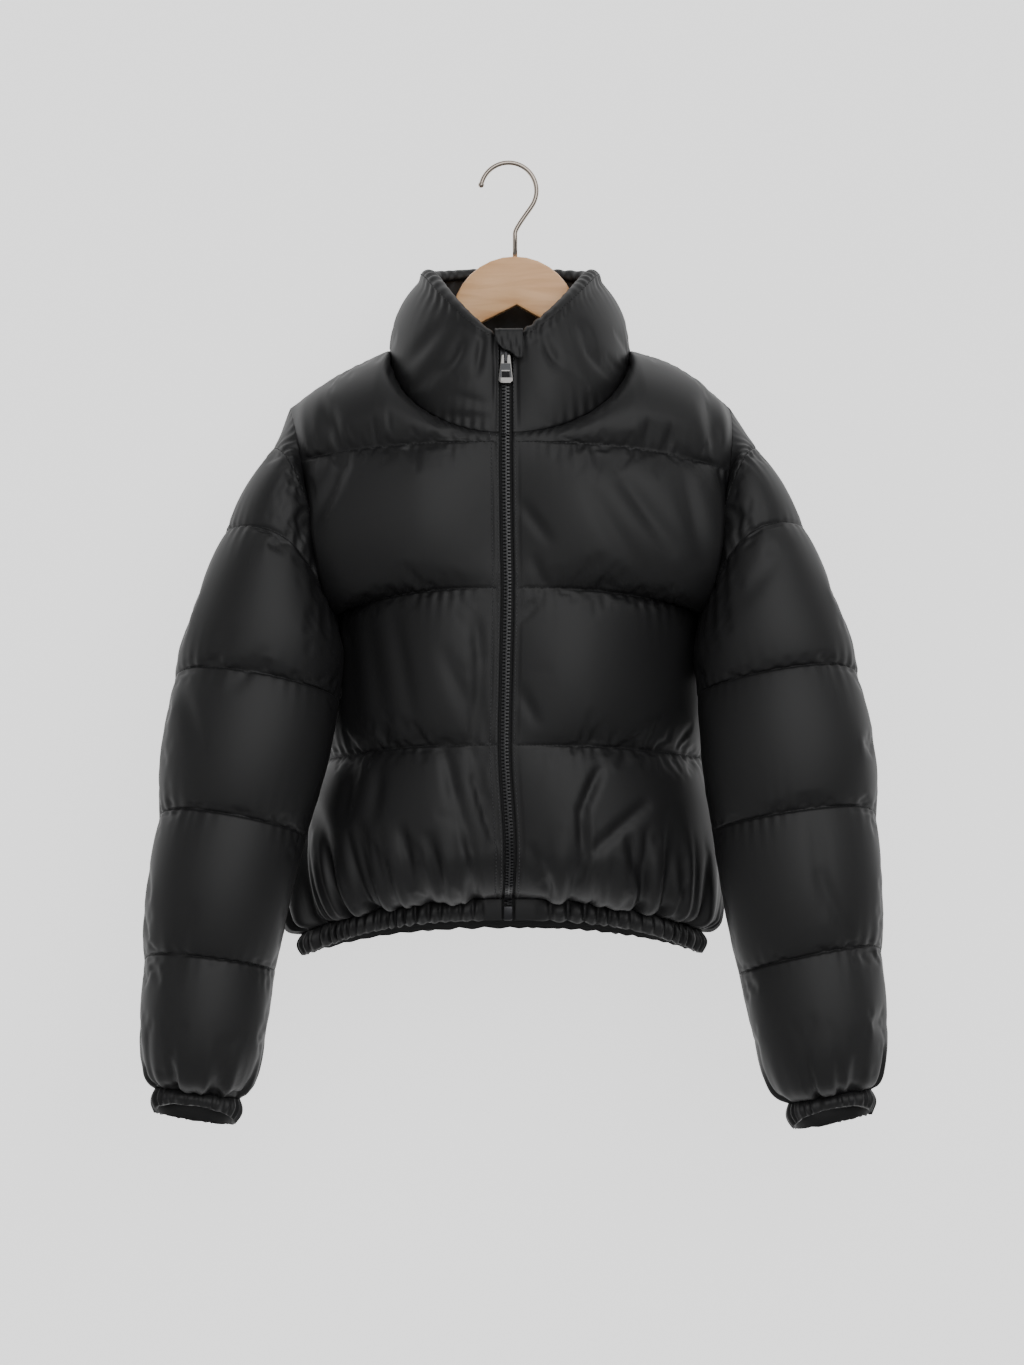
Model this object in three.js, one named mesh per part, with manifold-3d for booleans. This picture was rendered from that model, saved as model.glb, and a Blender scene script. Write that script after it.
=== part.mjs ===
// A cropped quilted puffer jacket, zipped up and hanging on a wooden hanger. Sizes are millimetres,
// with +Z up and the front towards -Y. The origin is the point inside the hook's bend where a rail
// carries it. Left and right are as seen from the front. Every cloth piece is a wall: a base surface
// with a plain inside and the quilting raised on the outside.
import * as THREE from "three";
import { mergeVertices } from "three/addons/utils/BufferGeometryUtils.js";
import Module from "manifold-3d";

const wasm = await Module();
wasm.setup();

// Cloth wall and seams
const WALL_OUT = 1.0; // outer face of the wall, from the base surface, at a seam
const WALL_IN = 1.2; // inner face of the wall, from the base surface
const SEAM_GAP = 0.4; // between two pieces at a seam
const CORNER_GAP = 1.1; // more on each side, where several pieces meet under the arm and beside the neck
const CORNER_EASE = 55; // and how far from there it fades
const STEP = 0.002; // parameter step for slopes of a surface
const INSIDE = 0.1; // and for a place inside a wall, seen from its edge

// Quilting
const BODY_PUFF = 15; // how far a baffle of the body stands out at its fullest
const SIDE_REACH = 42; // a baffle grows to full height this far from a side seam or an armhole
const ZIP_REACH = 62; // and this far from the zip
const ARMPIT_REACH = 70;
const SLEEVE_REACH = 34;
const COLLAR_PUFF = 9;
const COLLAR_REACH = 40;
const FULL_BAFFLE = 100; // a baffle shorter than this puffs less

// Zip
const ZIP_LEFT_EDGE = 8.4; // from the middle of the teeth to the left front's edge
const ZIP_RIGHT_EDGE = 9.4;
const CHAIN = { width: 6.2, depth: 2.4, lowest: 12, highest: 0.94 };
const TAPE_DEPTH = 1.0;
const TAPE_UNDER = 6; // how far the tape runs under the front's edge
const SLIDER_Z = -172; // height of the pull's pivot
const SLIDER = {
  width: 8.6,
  top: 8,
  bottom: -8,
  plateBack: 1.5,
  plateFront: 3.2,
  flangeBack: -1.1,
  flangeInside: 3.5,
};
const CROWN = { halfWidth: 1, reach: 6, front: 6.8, hollowFront: 5.8, hollow: 4 };
const PULL = {
  out: 4.6,
  thickness: 2,
  bar: 0.8,
  topWidth: 7.4,
  bottomWidth: 12,
  length: 24,
  eye: 7,
  slot: 1.35,
};
const PULL_WINDOW = { width: 7, bottom: 19.5, top: 14 };
const GARAGE = {
  left: -9,
  right: 14.4,
  front: 7.3,
  back: -3.1,
  wall: 1.8,
  bottom: 2.2,
  top: 21.2,
  tail: 8,
};
const BOX = { width: 7.4, height: 12, front: 2.6 };

// Gathers
const HEM_WAVES = 60;
const HEM_WAVE_HEIGHT = 1.5;
const HEM_FOLDS = 24;
const HEM_FOLD_HEIGHT = 4.2;
const CUFF_WAVES = 16;
const CUFF_WAVE_HEIGHT = 1.3;
const CUFF_FOLDS = 9;
const CUFF_FOLD_HEIGHT = 3.4;

// Folds of the fronts. Each runs from one place on its panel to another; u and v are the panel's own.
const FOLDS = [
  { side: -1, fromU: 0.66, fromV: 3.6, toU: 0.71, toV: 3.02, depth: 5, width: 12 },
  { side: -1, fromU: 0.71, fromV: 2.98, toU: 0.88, toV: 2.6, depth: 7, width: 13 },
  { side: -1, fromU: 0.1, fromV: 1.85, toU: 0.11, toV: 0.4, depth: 4, width: 12 },
  { side: 1, fromU: 0.84, fromV: 3.75, toU: 0.95, toV: 3.02, depth: 7, width: 13 },
  { side: 1, fromU: 0.7, fromV: 2.95, toU: 0.9, toV: 2.2, depth: 6, width: 13 },
  { side: 1, fromU: 0.4, fromV: 2.9, toU: 0.78, toV: 2.2, depth: 5, width: 15 },
];

// Colours
const SHELL = 0x2b2b2c;
const TAPE = 0x161617;
const TEETH = 0x1b1b1d;
const STEEL = 0xb9b1aa;
const GUNMETAL = 0x8d8b88;
const BEECH = 0xd3ac86;

// A table from the names of its columns and its rows.
function tableOf(columns, rows) {
  return rows.map((row) => Object.fromEntries(columns.map((name, i) => [name, row[i]])));
}

// Levels of the body. v counts the stitch lines: 0 is the hem seam, 1 and 2 the two lines below the
// armhole and 3 the yoke line. side is the outermost point of the section; above v 2 it is the
// armhole, with a front and a back branch. span is the angle from the centre to that point, and seam
// the angle of the side seam, in degrees.
const LEVEL_COLUMNS = [
  "v", "zipX", "frontY", "frontZ", "backY", "backZ", "leftX", "rightX", "sideFrontY", "sideBackY",
  "leftZ", "rightZ", "span", "seamLeft", "seamRight",
];
const BODY_LEVELS = tableOf(LEVEL_COLUMNS, [
  [0, -1.6, -56, -627, 44, -640, -177, 163, -2, -2, -660, -658, 90, 60, 90],
  [0.1, -1, -76, -620, 72, -638, -185, 177, 8, 8, -650, -648, 90, 62, 89],
  [0.35, 0, -95, -587, 91, -602, -182, 175, 18, 18, -612, -610, 90, 68, 88],
  [1, -4.4, -98, -497, 92, -505, -163, 168, 30, 30, -513, -511, 90, 82, 88],
  [1.5, -3.2, -98, -430, 91, -438, -150, 162, 28, 28, -449, -447, 90, 87, 89],
  [2, -2, -97, -366, 89, -372, -151, 165, 2, 2, -388, -386, 90, 90, 90],
  [2.07, -2, -97, -357, 88, -363, -151.5, 165.5, -20, 23, -384, -382, 89, 90, 90],
  [2.2, -2.4, -96, -341, 87, -347, -154, 168, -41, 42, -370, -369, 86, 90, 90],
  [2.5, -3, -94, -304, 84, -311, -164, 177, -55, 54, -325, -329, 80, 90, 90],
  [3, -3.6, -91, -244, 76, -250, -177, 186, -46, 45, -257, -266, 70, 90, 90],
]);
const BODY_PUFFS = [1, 1, 1, 0.7]; // share of BODY_PUFF in each baffle, from the hem up

// Neckline and shoulders
const NECK_SHARE = 0.5; // share of a panel's width that the neckline takes; the shoulder seam has the rest
const NECK_FRONT = { y: -88, z: -236 };
const NECK_BACK = { y: 45, z: -151 };
const NECK_SIDE = { x: 103, y: 0, z: -160 };
const SHOULDER_TIP = { x: 189, y: 2, z: -209 };
const SHOULDER_RISE = { left: 4, right: 8.5 }; // how far the shoulder seam arches above its ends
const YOKE_ROUNDNESS = 0.5;

// Collar's top edge
const COLLAR_TOP_FRONT = { y: -73, z: -153 };
const COLLAR_TOP_BACK = { y: 48, z: -86 };
const COLLAR_TOP_SIDE = { x: 72, y: 12, z: -91 };

// Rings of the sleeves. w counts the stitch lines, from 1 under the shoulder to 6 at the cuff. out and
// in are the outer and the under-arm seam. arch lifts the ring's front and back between them, and late
// says how much of the drop to the under-arm seam comes at the end, where rings 1 and 2 follow the
// armhole.
const RING_COLUMNS = [
  "w", "leftOutX", "leftOutZ", "leftInX", "leftInZ", "rightOutX", "rightOutZ", "rightInX",
  "rightInZ", "midY", "front", "back", "arch", "late",
];
const SLEEVE_RINGS = tableOf(RING_COLUMNS, [
  [1, -203, -246, -160, -396, 211, -246, 174, -394, -5, 57, 56, 1, 2],
  [2, -243, -325, -155, -407, 251, -322, 169, -405, -19, 58, 54, 12, 3.6],
  [2.5, -261, -382, -149, -426, 271, -380, 164, -424, -34, 56, 51, 15, 1.7],
  [3, -283, -448, -150, -461, 294, -446, 165, -457, -46, 53, 47, 19, 1.1],
  [4, -295, -564, -172, -576, 308, -562, 171, -572, -58, 49, 43, 17, 1],
  [4.5, -301, -622, -188, -633, 309, -618, 182, -632, -61, 47, 42, 15, 1],
  [5, -307, -682, -198, -688, 312, -674, 193, -691, -63, 44, 40, 13, 1],
  [5.5, -307, -737, -208, -744, 313, -735, 207, -744, -64, 42, 39, 9, 1],
  [5.86, -304, -776, -219, -785, 310, -777, 221, -788, -64, 34, 32, 6, 1],
  [6, -298, -787, -228, -795, 303, -788, 235, -799, -64, 20, 19, 4, 1],
]);
const SLEEVE_PUFFS = [3, 7, 10, 10, 10, 9.5]; // in each baffle, from the shoulder down

// Cuff's and hem band's free edges, from their seams
const CUFF_DROP = { front: 17, back: 24, leftInX: -4, rightInX: 4, y: -2 };
const BAND_DROP = 19;
const BAND_TUCK = 0.97; // the free edge is this much narrower than the seam

// Columns and rows of the walls
const COLUMNS = 18; // from a panel's centre to its side
const CROWDING = 0.62; // how much closer the columns stand at a panel's edges
const HEM_COLUMNS = 52;
const GATHER_ROWS = [
  { v: 0, columns: HEM_COLUMNS },
  { v: 0.05, columns: HEM_COLUMNS },
  { v: 0.14, columns: HEM_COLUMNS / 2 },
  { v: 0.3, columns: HEM_COLUMNS / 2 },
];
const PLAIN_ROWS = [0.46, 0.68, 0.9, 1, 1.1, 1.3, 1.55, 1.8, 1.93];
const ARMHOLE_ROWS = [2, 2.07, 2.18, 2.33, 2.5, 2.68, 2.86, 3, 3.2, 3.45, 3.72, 4];
const INNER_COLUMNS = [0, 1, 2, 4, 6, 9, 12, 14, 16, 17, 18]; // the columns that the inner faces keep
const HEM_INNER_COLUMNS = HEM_COLUMNS / 4;
const SLEEVE_COLUMNS = ARMHOLE_ROWS.length - 1;
const BAFFLE_STEPS = [0, 0.12, 0.36, 0.64, 0.88];
const SLEEVE_INNER_ROWS = [0, 0.36, 1, 1.5, 2, 2.5, 3, 4, 5, 5.64, 6];
const CUFF_TIMES = 3; // the sleeve's columns are this many times denser at the cuff

const radians = THREE.MathUtils.degToRad;
const vector = (x, y, z) => new THREE.Vector3(x, y, z);
const clamp = (x, low, high) => Math.min(high, Math.max(low, x));

// A smooth curve through one column of a table that does not overshoot its rows.
function column(table, place, key, at) {
  const count = table.length;
  let i = 0;
  while (i < count - 2 && at > table[i + 1][place]) i += 1;
  const slope = (k) =>
    (table[k + 1][key] - table[k][key]) / (table[k + 1][place] - table[k][place]);
  const tangent = (k) => {
    if (k === 0) return slope(0);
    if (k === count - 1) return slope(count - 2);
    const before = slope(k - 1);
    const after = slope(k);
    return before * after <= 0 ? 0 : (2 * before * after) / (before + after);
  };
  const width = table[i + 1][place] - table[i][place];
  const t = (at - table[i][place]) / width;
  if (t < 0) return table[0][key] + slope(0) * t * width;
  return (
    table[i][key] * (2 * t ** 3 - 3 * t ** 2 + 1) +
    tangent(i) * width * (t ** 3 - 2 * t ** 2 + t) +
    table[i + 1][key] * (3 * t ** 2 - 2 * t ** 3) +
    tangent(i + 1) * width * (t ** 3 - t ** 2)
  );
}

const bodyColumn = (key, v) => column(BODY_LEVELS, "v", key, v);
const ringColumn = (key, w) => column(SLEEVE_RINGS, "w", key, w);

// The front's edge beside the zip.
function frontEdgeX(side, zipX) {
  return side < 0 ? zipX - ZIP_LEFT_EDGE : zipX + ZIP_RIGHT_EDGE;
}

// A point of the body at or below the yoke line. face is -1 for the front and 1 for the back, and side
// is -1 for the left. u runs from the centre to the side seam or the armhole.
function lowerBody(face, side, u, v) {
  const at = (key) => bodyColumn(key, v);
  const span = radians(at("span"));
  const seam = radians(at(side < 0 ? "seamLeft" : "seamRight"));
  const reach = v > 2 ? span : face < 0 ? seam : Math.PI - seam;
  let angle = u * reach;
  let onFace = face;
  if (angle > Math.PI / 2) {
    angle = Math.PI - angle;
    onFace = -face;
  }
  const across = Math.sin(angle) / Math.sin(span);
  const bow = Math.max(0, (Math.cos(angle) - Math.cos(span)) / (1 - Math.cos(span)));
  const centre =
    onFace < 0
      ? vector(frontEdgeX(side, at("zipX")), at("frontY"), at("frontZ"))
      : vector(0, at("backY"), at("backZ"));
  const edge = vector(
    at(side < 0 ? "leftX" : "rightX"),
    at(onFace < 0 || v <= 2 ? "sideFrontY" : "sideBackY"),
    at(side < 0 ? "leftZ" : "rightZ"),
  );
  const sharpness = v > 2 ? 1.1 : 1.3; // over 1 the section narrows to a crease at the side
  return vector(
    THREE.MathUtils.lerp(centre.x, edge.x, across),
    THREE.MathUtils.lerp(edge.y, centre.y, bow ** sharpness),
    THREE.MathUtils.lerp(centre.z, edge.z, across ** 2.6),
  );
}

// The upper edge of a body panel: half the neckline, then the shoulder seam.
function upperEdge(face, side, u) {
  const neck = vector(side * NECK_SIDE.x, NECK_SIDE.y, NECK_SIDE.z);
  if (u <= NECK_SHARE) {
    const angle = (u / NECK_SHARE) * (Math.PI / 2);
    const from = face < 0 ? NECK_FRONT : NECK_BACK;
    const fromX = face < 0 ? frontEdgeX(side, bodyColumn("zipX", 3)) : 0;
    return vector(
      THREE.MathUtils.lerp(fromX, neck.x, Math.sin(angle)),
      THREE.MathUtils.lerp(neck.y, from.y, Math.cos(angle)),
      THREE.MathUtils.lerp(neck.z, from.z, Math.cos(angle)),
    );
  }
  const along = (u - NECK_SHARE) / (1 - NECK_SHARE);
  const tip = vector(side * SHOULDER_TIP.x, SHOULDER_TIP.y, SHOULDER_TIP.z);
  const point = neck.lerp(tip, along);
  const rise = side < 0 ? SHOULDER_RISE.left : SHOULDER_RISE.right;
  point.z += rise * Math.sin(Math.PI * along);
  return point;
}

// A point of the body. Above the yoke line, v 3 to 4, the surface rolls back to the neckline and the
// shoulder seam.
function bodyPoint(face, side, u, v) {
  if (v <= 3) return lowerBody(face, side, u, v);
  const low = lowerBody(face, side, u, 3);
  const rise = low.clone().sub(lowerBody(face, side, u, 3 - 5 * STEP)).normalize();
  const high = upperEdge(face, side, u);
  const middle = low.clone().addScaledVector(rise, YOKE_ROUNDNESS * low.distanceTo(high));
  const t = v - 3;
  return low
    .multiplyScalar((1 - t) ** 2)
    .addScaledVector(middle, 2 * t * (1 - t))
    .addScaledVector(high, t ** 2);
}

// The body's level that meets the sleeve at u, from the shoulder (0) to under the arm (1).
function armholeLevel(u) {
  const last = ARMHOLE_ROWS.length - 1;
  const place = clamp(u, 0, 1) * last;
  const i = Math.min(last - 1, Math.floor(place));
  return THREE.MathUtils.lerp(ARMHOLE_ROWS[last - i], ARMHOLE_ROWS[last - i - 1], place - i);
}

function sleeveRing(face, side, u, w) {
  const at = (key) => ringColumn(key, w);
  const name = side < 0 ? "left" : "right";
  const share = (1 - Math.cos(Math.PI * u)) / 2;
  const round = Math.sin(Math.PI * u) ** 1.15;
  const lift = at("arch") * Math.sin(Math.PI * u ** 0.72);
  return vector(
    THREE.MathUtils.lerp(at(name + "OutX"), at(name + "InX"), share),
    at("midY") + face * at(face < 0 ? "front" : "back") * round,
    THREE.MathUtils.lerp(at(name + "OutZ"), at(name + "InZ"), share ** at("late")) + lift,
  );
}

// A point of a sleeve half. u runs from the outer seam (0) to the under-arm seam (1), and w from the
// armhole to the cuff.
function sleevePoint(face, side, u, w) {
  if (w >= 1) return sleeveRing(face, side, u, w);
  const start = bodyPoint(face, side, 1, armholeLevel(u));
  const end = sleeveRing(face, side, u, 1);
  const slope = sleeveRing(face, side, u, 1 + 5 * STEP).sub(end).divideScalar(5 * STEP);
  const chord = end.clone().sub(start);
  slope.setLength(Math.min(slope.length(), 1.2 * chord.length()));
  const point = start.multiplyScalar(2 * w ** 3 - 3 * w ** 2 + 1);
  point.addScaledVector(chord, w ** 3 - 2 * w ** 2 + w);
  point.addScaledVector(end, 3 * w ** 2 - 2 * w ** 3);
  return point.addScaledVector(slope, w ** 3 - w ** 2);
}

// A point of the collar. u runs from the centre (0) to the side (1) of one face, and h from the
// neckline to the top edge.
function collarPoint(face, side, u, h) {
  const low = bodyPoint(face, side, u * NECK_SHARE, 4);
  if (h <= 0) return low;
  const angle = (u * Math.PI) / 2;
  const from = face < 0 ? COLLAR_TOP_FRONT : COLLAR_TOP_BACK;
  const fromX = face < 0 ? frontEdgeX(side, bodyColumn("zipX", 3)) : 0;
  const droop = face < 0 ? Math.sin(angle) ** 1.5 : Math.sin(angle) ** 2;
  const high = vector(
    THREE.MathUtils.lerp(fromX, side * COLLAR_TOP_SIDE.x, Math.sin(angle)),
    THREE.MathUtils.lerp(COLLAR_TOP_SIDE.y, from.y, Math.cos(angle)),
    THREE.MathUtils.lerp(from.z, COLLAR_TOP_SIDE.z, droop),
  );
  return low.lerp(high, h);
}

// A point of the hem band, from the hem seam (0) to its free edge (1).
function bandPoint(face, side, u, h) {
  const low = bodyPoint(face, side, u, 0);
  low.z -= BAND_DROP * h;
  low.y *= 1 - (1 - BAND_TUCK) * h;
  return low;
}

// A point of a cuff, from its seam (0) to its free edge (1).
function cuffPoint(face, side, u, h) {
  const point = sleevePoint(face, side, u, 6);
  if (h <= 0) return point;
  const bow = Math.sin(Math.PI * u);
  const drop = THREE.MathUtils.lerp(20, face < 0 ? CUFF_DROP.front : CUFF_DROP.back, bow);
  point.z -= drop * h;
  point.x += (side < 0 ? CUFF_DROP.leftInX : CUFF_DROP.rightInX) * h * u;
  point.y += CUFF_DROP.y * h;
  return point;
}

// How a baffle stands out between two stitch lines. t is 0 at the lower line and 1 at the upper, and
// the fill sags a little.
function baffle(t) {
  return Math.sin(Math.PI * clamp(t, 0, 1) ** 0.84) ** 0.7;
}

// How a baffle rises beside a seam that is distance away.
function besideSeam(distance, reach) {
  const t = clamp(distance / reach, 0, 1);
  return Math.sin((Math.PI / 2) * t);
}

// How a fold presses a place of a front panel in: the nearness to the fold's line, fading at its ends.
function foldDepth(side, point) {
  let depth = 0;
  for (const fold of FOLDS) {
    if (fold.side !== side) continue;
    const from = bodyPoint(-1, side, fold.fromU, fold.fromV);
    const line = bodyPoint(-1, side, fold.toU, fold.toV).sub(from);
    const offset = point.clone().sub(from);
    const along = clamp(offset.dot(line) / line.lengthSq(), 0, 1);
    const away = offset.addScaledVector(line, -along).length() / fold.width;
    depth += fold.depth * Math.exp(-away * away) * Math.sin(Math.PI * (0.12 + 0.76 * along));
  }
  return depth;
}

// An uneven wave of a gathered edge, from -1 to 1. turn runs round the edge from 0 to 1.
function gather(turn, waves, seed) {
  const wander = 0.22 * Math.sin(34 * turn + seed) + 0.16 * Math.sin(81 * turn + 2 * seed);
  const phase = 2 * Math.PI * (waves * turn + wander);
  const strength = 0.72 + 0.28 * Math.sin(53 * turn + 3 * seed);
  return strength * Math.sin(phase);
}

// Where a point of the hem lies on the way round, from the left side of the zip (0) to its right side
// (1).
function hemTurn(face, side, u) {
  const share = face < 0 ? u / 4 : 0.5 - u / 4;
  return side < 0 ? share : 1 - share;
}

// Gathers die out beside the zip, where the band is plain.
function besideZip(turn) {
  return clamp((Math.min(turn, 1 - turn) - 0.02) / 0.03, 0, 1);
}

function bodyLift(face, side, u, v) {
  const band = Math.min(3, Math.floor(v));
  const t = v >= 4 ? 1 : v - band;
  const base = bodyPoint(face, side, u, v);
  const width = bodyPoint(face, side, 1, v).distanceTo(bodyPoint(face, side, 0, v)) + 30;
  const height = bodyPoint(face, side, u, band).distanceTo(bodyPoint(face, side, u, band + 1));
  const toSide = besideSeam((1 - u) * width, SIDE_REACH) ** (v > 2 ? 1.5 : 1);
  const toZip = face < 0 ? besideSeam(u * width, ZIP_REACH) : 1;
  const toArmpit = besideSeam(base.distanceTo(bodyPoint(face, side, 1, 2)), ARMPIT_REACH);
  const full = clamp(height / FULL_BAFFLE, 0, 1);
  const puff = BODY_PUFF * BODY_PUFFS[band] * baffle(t) * Math.min(toSide, toZip, toArmpit) * full;
  const turn = hemTurn(face, side, u);
  const fade = clamp(v / 0.06, 0, 1) * clamp(1 - v / 0.62, 0, 1) ** 1.4;
  const folds = HEM_FOLD_HEIGHT * fade * gather(turn, HEM_FOLDS, 1.7) * besideZip(turn);
  const pressed = face < 0 ? Math.min(puff, foldDepth(side, base)) : 0;
  return Math.max(0, puff - pressed + folds) + hemRipple(turn) * clamp(1 - v / 0.05, 0, 1);
}

// The ripple that the hem seam gives both the body and the band.
function hemRipple(turn) {
  return 0.5 * (1 + gather(turn, HEM_WAVES, 0.6)) * besideZip(turn);
}

function bandLift(turn, h) {
  const ridge = HEM_WAVE_HEIGHT * (1 + gather(turn, HEM_WAVES, 0.6)) * besideZip(turn);
  const swell = Math.sin(Math.PI * h);
  return hemRipple(turn) * (1 - h) + swell * (0.8 + ridge) + 0.5 * h * ridge;
}

function sleeveLift(face, side, u, w) {
  const band = Math.min(5, Math.floor(w));
  const t = w >= 6 ? 0 : 1 - (w - band);
  const base = sleevePoint(face, side, u, w);
  const height = sleevePoint(face, side, u, band).distanceTo(sleevePoint(face, side, u, band + 1));
  const width = 160;
  const toOuter = besideSeam(u * width, SLEEVE_REACH);
  const toUnder = besideSeam((1 - u) * width, SLEEVE_REACH);
  const toArmpit = besideSeam(base.distanceTo(bodyPoint(face, side, 1, 2)), ARMPIT_REACH);
  const full = clamp(height / FULL_BAFFLE, 0, 1);
  const spread = Math.min(0.35 + 0.65 * toOuter, toUnder, toArmpit);
  const puff = SLEEVE_PUFFS[band] * baffle(t) * spread * full;
  const turn = cuffTurn(face, u);
  const fade = clamp((6 - w) / 0.06, 0, 1) * clamp(1 - (6 - w) / 0.5, 0, 1);
  const folds = CUFF_FOLD_HEIGHT * fade * gather(turn, CUFF_FOLDS, side + 2.3);
  return Math.max(0, puff + folds) + cuffRipple(side, turn) * clamp(1 - (6 - w) / 0.05, 0, 1);
}

function cuffTurn(face, u) {
  return face < 0 ? u / 2 : 1 - u / 2;
}

function cuffRipple(side, turn) {
  return 0.5 * (1 + gather(turn, CUFF_WAVES, side + 4));
}

function cuffLift(side, turn, h) {
  const ridge = CUFF_WAVE_HEIGHT * (1 + gather(turn, CUFF_WAVES, side + 4));
  return cuffRipple(side, turn) * (1 - h) + Math.sin(Math.PI * h) * (0.6 + ridge) + 0.5 * h * ridge;
}

function collarLift(face, u, h) {
  const toZip = face < 0 ? besideSeam(u * 150, COLLAR_REACH) : 1;
  return COLLAR_PUFF * Math.sin(Math.PI * h) ** 0.8 * toZip;
}

// Even steps from 0 to 1, and steps that crowd towards both ends.
const steps = (count) => Array.from({ length: count + 1 }, (_, i) => i / count);
const crowded = (count) =>
  steps(count).map((t) => t - (CROWDING * Math.sin(2 * Math.PI * t)) / (2 * Math.PI));

// A strip that runs through several stretches of seam, such as the hem band. at runs 0 to 1 over all
// of them.
function runThrough(stretches) {
  return (at) => {
    const place = clamp(at, 0, 1) * stretches.length;
    const i = Math.min(stretches.length - 1, Math.floor(place));
    const { face, side, reversed } = stretches[i];
    const u = reversed ? 1 - (place - i) : place - i;
    return { face, side, u };
  };
}

const FRONT_TO_FRONT = runThrough([
  { face: -1, side: -1, reversed: false },
  { face: 1, side: -1, reversed: true },
  { face: 1, side: 1, reversed: false },
  { face: -1, side: 1, reversed: true },
]);
const BACK_ACROSS = runThrough([
  { face: 1, side: -1, reversed: true },
  { face: 1, side: 1, reversed: false },
]);

// A wall's plan: point(at, level) is its base surface and lift(at, level) its quilting. outer and
// inner are the rows of the two faces, each with its level and the places of its points. A closed wall
// is a tube.
function panelRows() {
  const gathered = GATHER_ROWS.map(({ v, columns }) => ({ level: v, places: steps(columns) }));
  const plain = [...PLAIN_ROWS, ...ARMHOLE_ROWS].map((v) => ({ level: v, places: crowded(COLUMNS) }));
  return [...gathered, ...plain];
}

// The same rows for both halves of the back, from its left side to its right.
function acrossBack(places) {
  const left = places.map((u) => (1 - u) / 2).reverse();
  return [...left, ...places.slice(1).map((u) => (1 + u) / 2)];
}

// The inner face keeps every row, so that its rims match the outer face's, but fewer columns.
const innerColumns = () => INNER_COLUMNS.map((i) => crowded(COLUMNS)[i]);

function innerPanelRows() {
  const gathered = [0, 0.05].map((v) => ({ level: v, places: steps(HEM_INNER_COLUMNS) }));
  const levels = [0.14, 0.3, ...PLAIN_ROWS, ...ARMHOLE_ROWS];
  const plain = levels.map((v) => ({ level: v, places: innerColumns() }));
  plain[plain.length - 1].places = crowded(COLUMNS);
  return [...gathered, ...plain];
}

function frontPanel(side) {
  return {
    name: side < 0 ? "front_panel_left" : "front_panel_right",
    point: (u, v) => bodyPoint(-1, side, u, v),
    lift: (u, v) => bodyLift(-1, side, u, v),
    outer: panelRows(),
    inner: innerPanelRows(),
  };
}

function backPanel() {
  const both = (rows) => rows.map(({ level, places }) => ({ level, places: acrossBack(places) }));
  const on = (at, use) => {
    const { face, side, u } = BACK_ACROSS(at);
    return use(face, side, u);
  };
  return {
    name: "back_panel",
    point: (at, v) => on(at, (face, side, u) => bodyPoint(face, side, u, v)),
    lift: (at, v) => on(at, (face, side, u) => bodyLift(face, side, u, v)),
    outer: both(panelRows()),
    inner: both(innerPanelRows()),
  };
}

function sleevePanel(face, side) {
  const rows = [];
  for (let band = 0; band < 6; band += 1)
    for (const t of BAFFLE_STEPS)
      if (band > 0 || t < 0.8) rows.push({ level: band + t, places: steps(SLEEVE_COLUMNS) });
  rows.pop();
  rows.push({ level: 5.93, places: steps(CUFF_TIMES * SLEEVE_COLUMNS) });
  rows.push({ level: 6, places: steps(CUFF_TIMES * SLEEVE_COLUMNS) });
  return {
    name: `sleeve_${face < 0 ? "front" : "back"}_${side < 0 ? "left" : "right"}`,
    point: (u, w) => sleevePoint(face, side, u, w),
    lift: (u, w) => sleeveLift(face, side, u, w),
    outer: rows,
    inner: SLEEVE_INNER_ROWS.map((w) => ({ level: w, places: steps(SLEEVE_COLUMNS) })),
  };
}

function collar() {
  const on = (at, use) => {
    const { face, side, u } = FRONT_TO_FRONT(at);
    return use(face, side, u);
  };
  const round = (columns) => {
    const half = columns.filter((u) => u <= NECK_SHARE + 1e-9).map((u) => u / NECK_SHARE);
    const flipped = half.map((u) => 1 - u).reverse();
    const places = [0];
    [half, flipped, half, flipped].forEach((stretch, i) => {
      places.push(...stretch.slice(1).map((u) => (i + u) / 4));
    });
    return places;
  };
  const all = round(crowded(COLUMNS));
  const fewer = round(innerColumns());
  return {
    name: "collar",
    point: (at, h) => on(at, (face, side, u) => collarPoint(face, side, u, h)),
    lift: (at, h) => on(at, (face, side, u) => collarLift(face, u, h)),
    outer: [0, 0.1, 0.28, 0.5, 0.72, 0.9, 1].map((h) => ({ level: h, places: all })),
    inner: [0, 0.28, 0.72, 1].map((h) => ({ level: h, places: h ? fewer : all })),
  };
}

function hemBand() {
  const on = (at, use) => {
    const { face, side, u } = FRONT_TO_FRONT(at);
    return use(face, side, u);
  };
  return {
    name: "hem_band",
    point: (at, h) => on(at, (face, side, u) => bandPoint(face, side, u, h)),
    lift: (at, h) => bandLift(at, h),
    outer: [0, 0.3, 0.75, 1].map((h) => ({ level: h, places: steps(4 * HEM_COLUMNS) })),
    inner: [0, 0.3, 0.75, 1].map((h) => ({ level: h, places: steps(4 * HEM_INNER_COLUMNS) })),
  };
}

function cuff(side) {
  const on = (at, use) => {
    const turn = ((at % 1) + 1) % 1;
    return turn <= 0.5 ? use(-1, 2 * turn, turn) : use(1, 2 - 2 * turn, turn);
  };
  const columns = 2 * CUFF_TIMES * SLEEVE_COLUMNS;
  return {
    name: side < 0 ? "cuff_left" : "cuff_right",
    closed: true,
    point: (at, h) => on(at, (face, u) => cuffPoint(face, side, u, h)),
    lift: (at, h) => on(at, (face, u, turn) => cuffLift(side, turn, h)),
    outer: [0, 0.3, 0.75, 1].map((h) => ({ level: h, places: steps(columns).slice(0, -1) })),
    inner: [0, 1].map((h) => ({ level: h, places: steps(columns / 3).slice(0, -1) })),
  };
}

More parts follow.
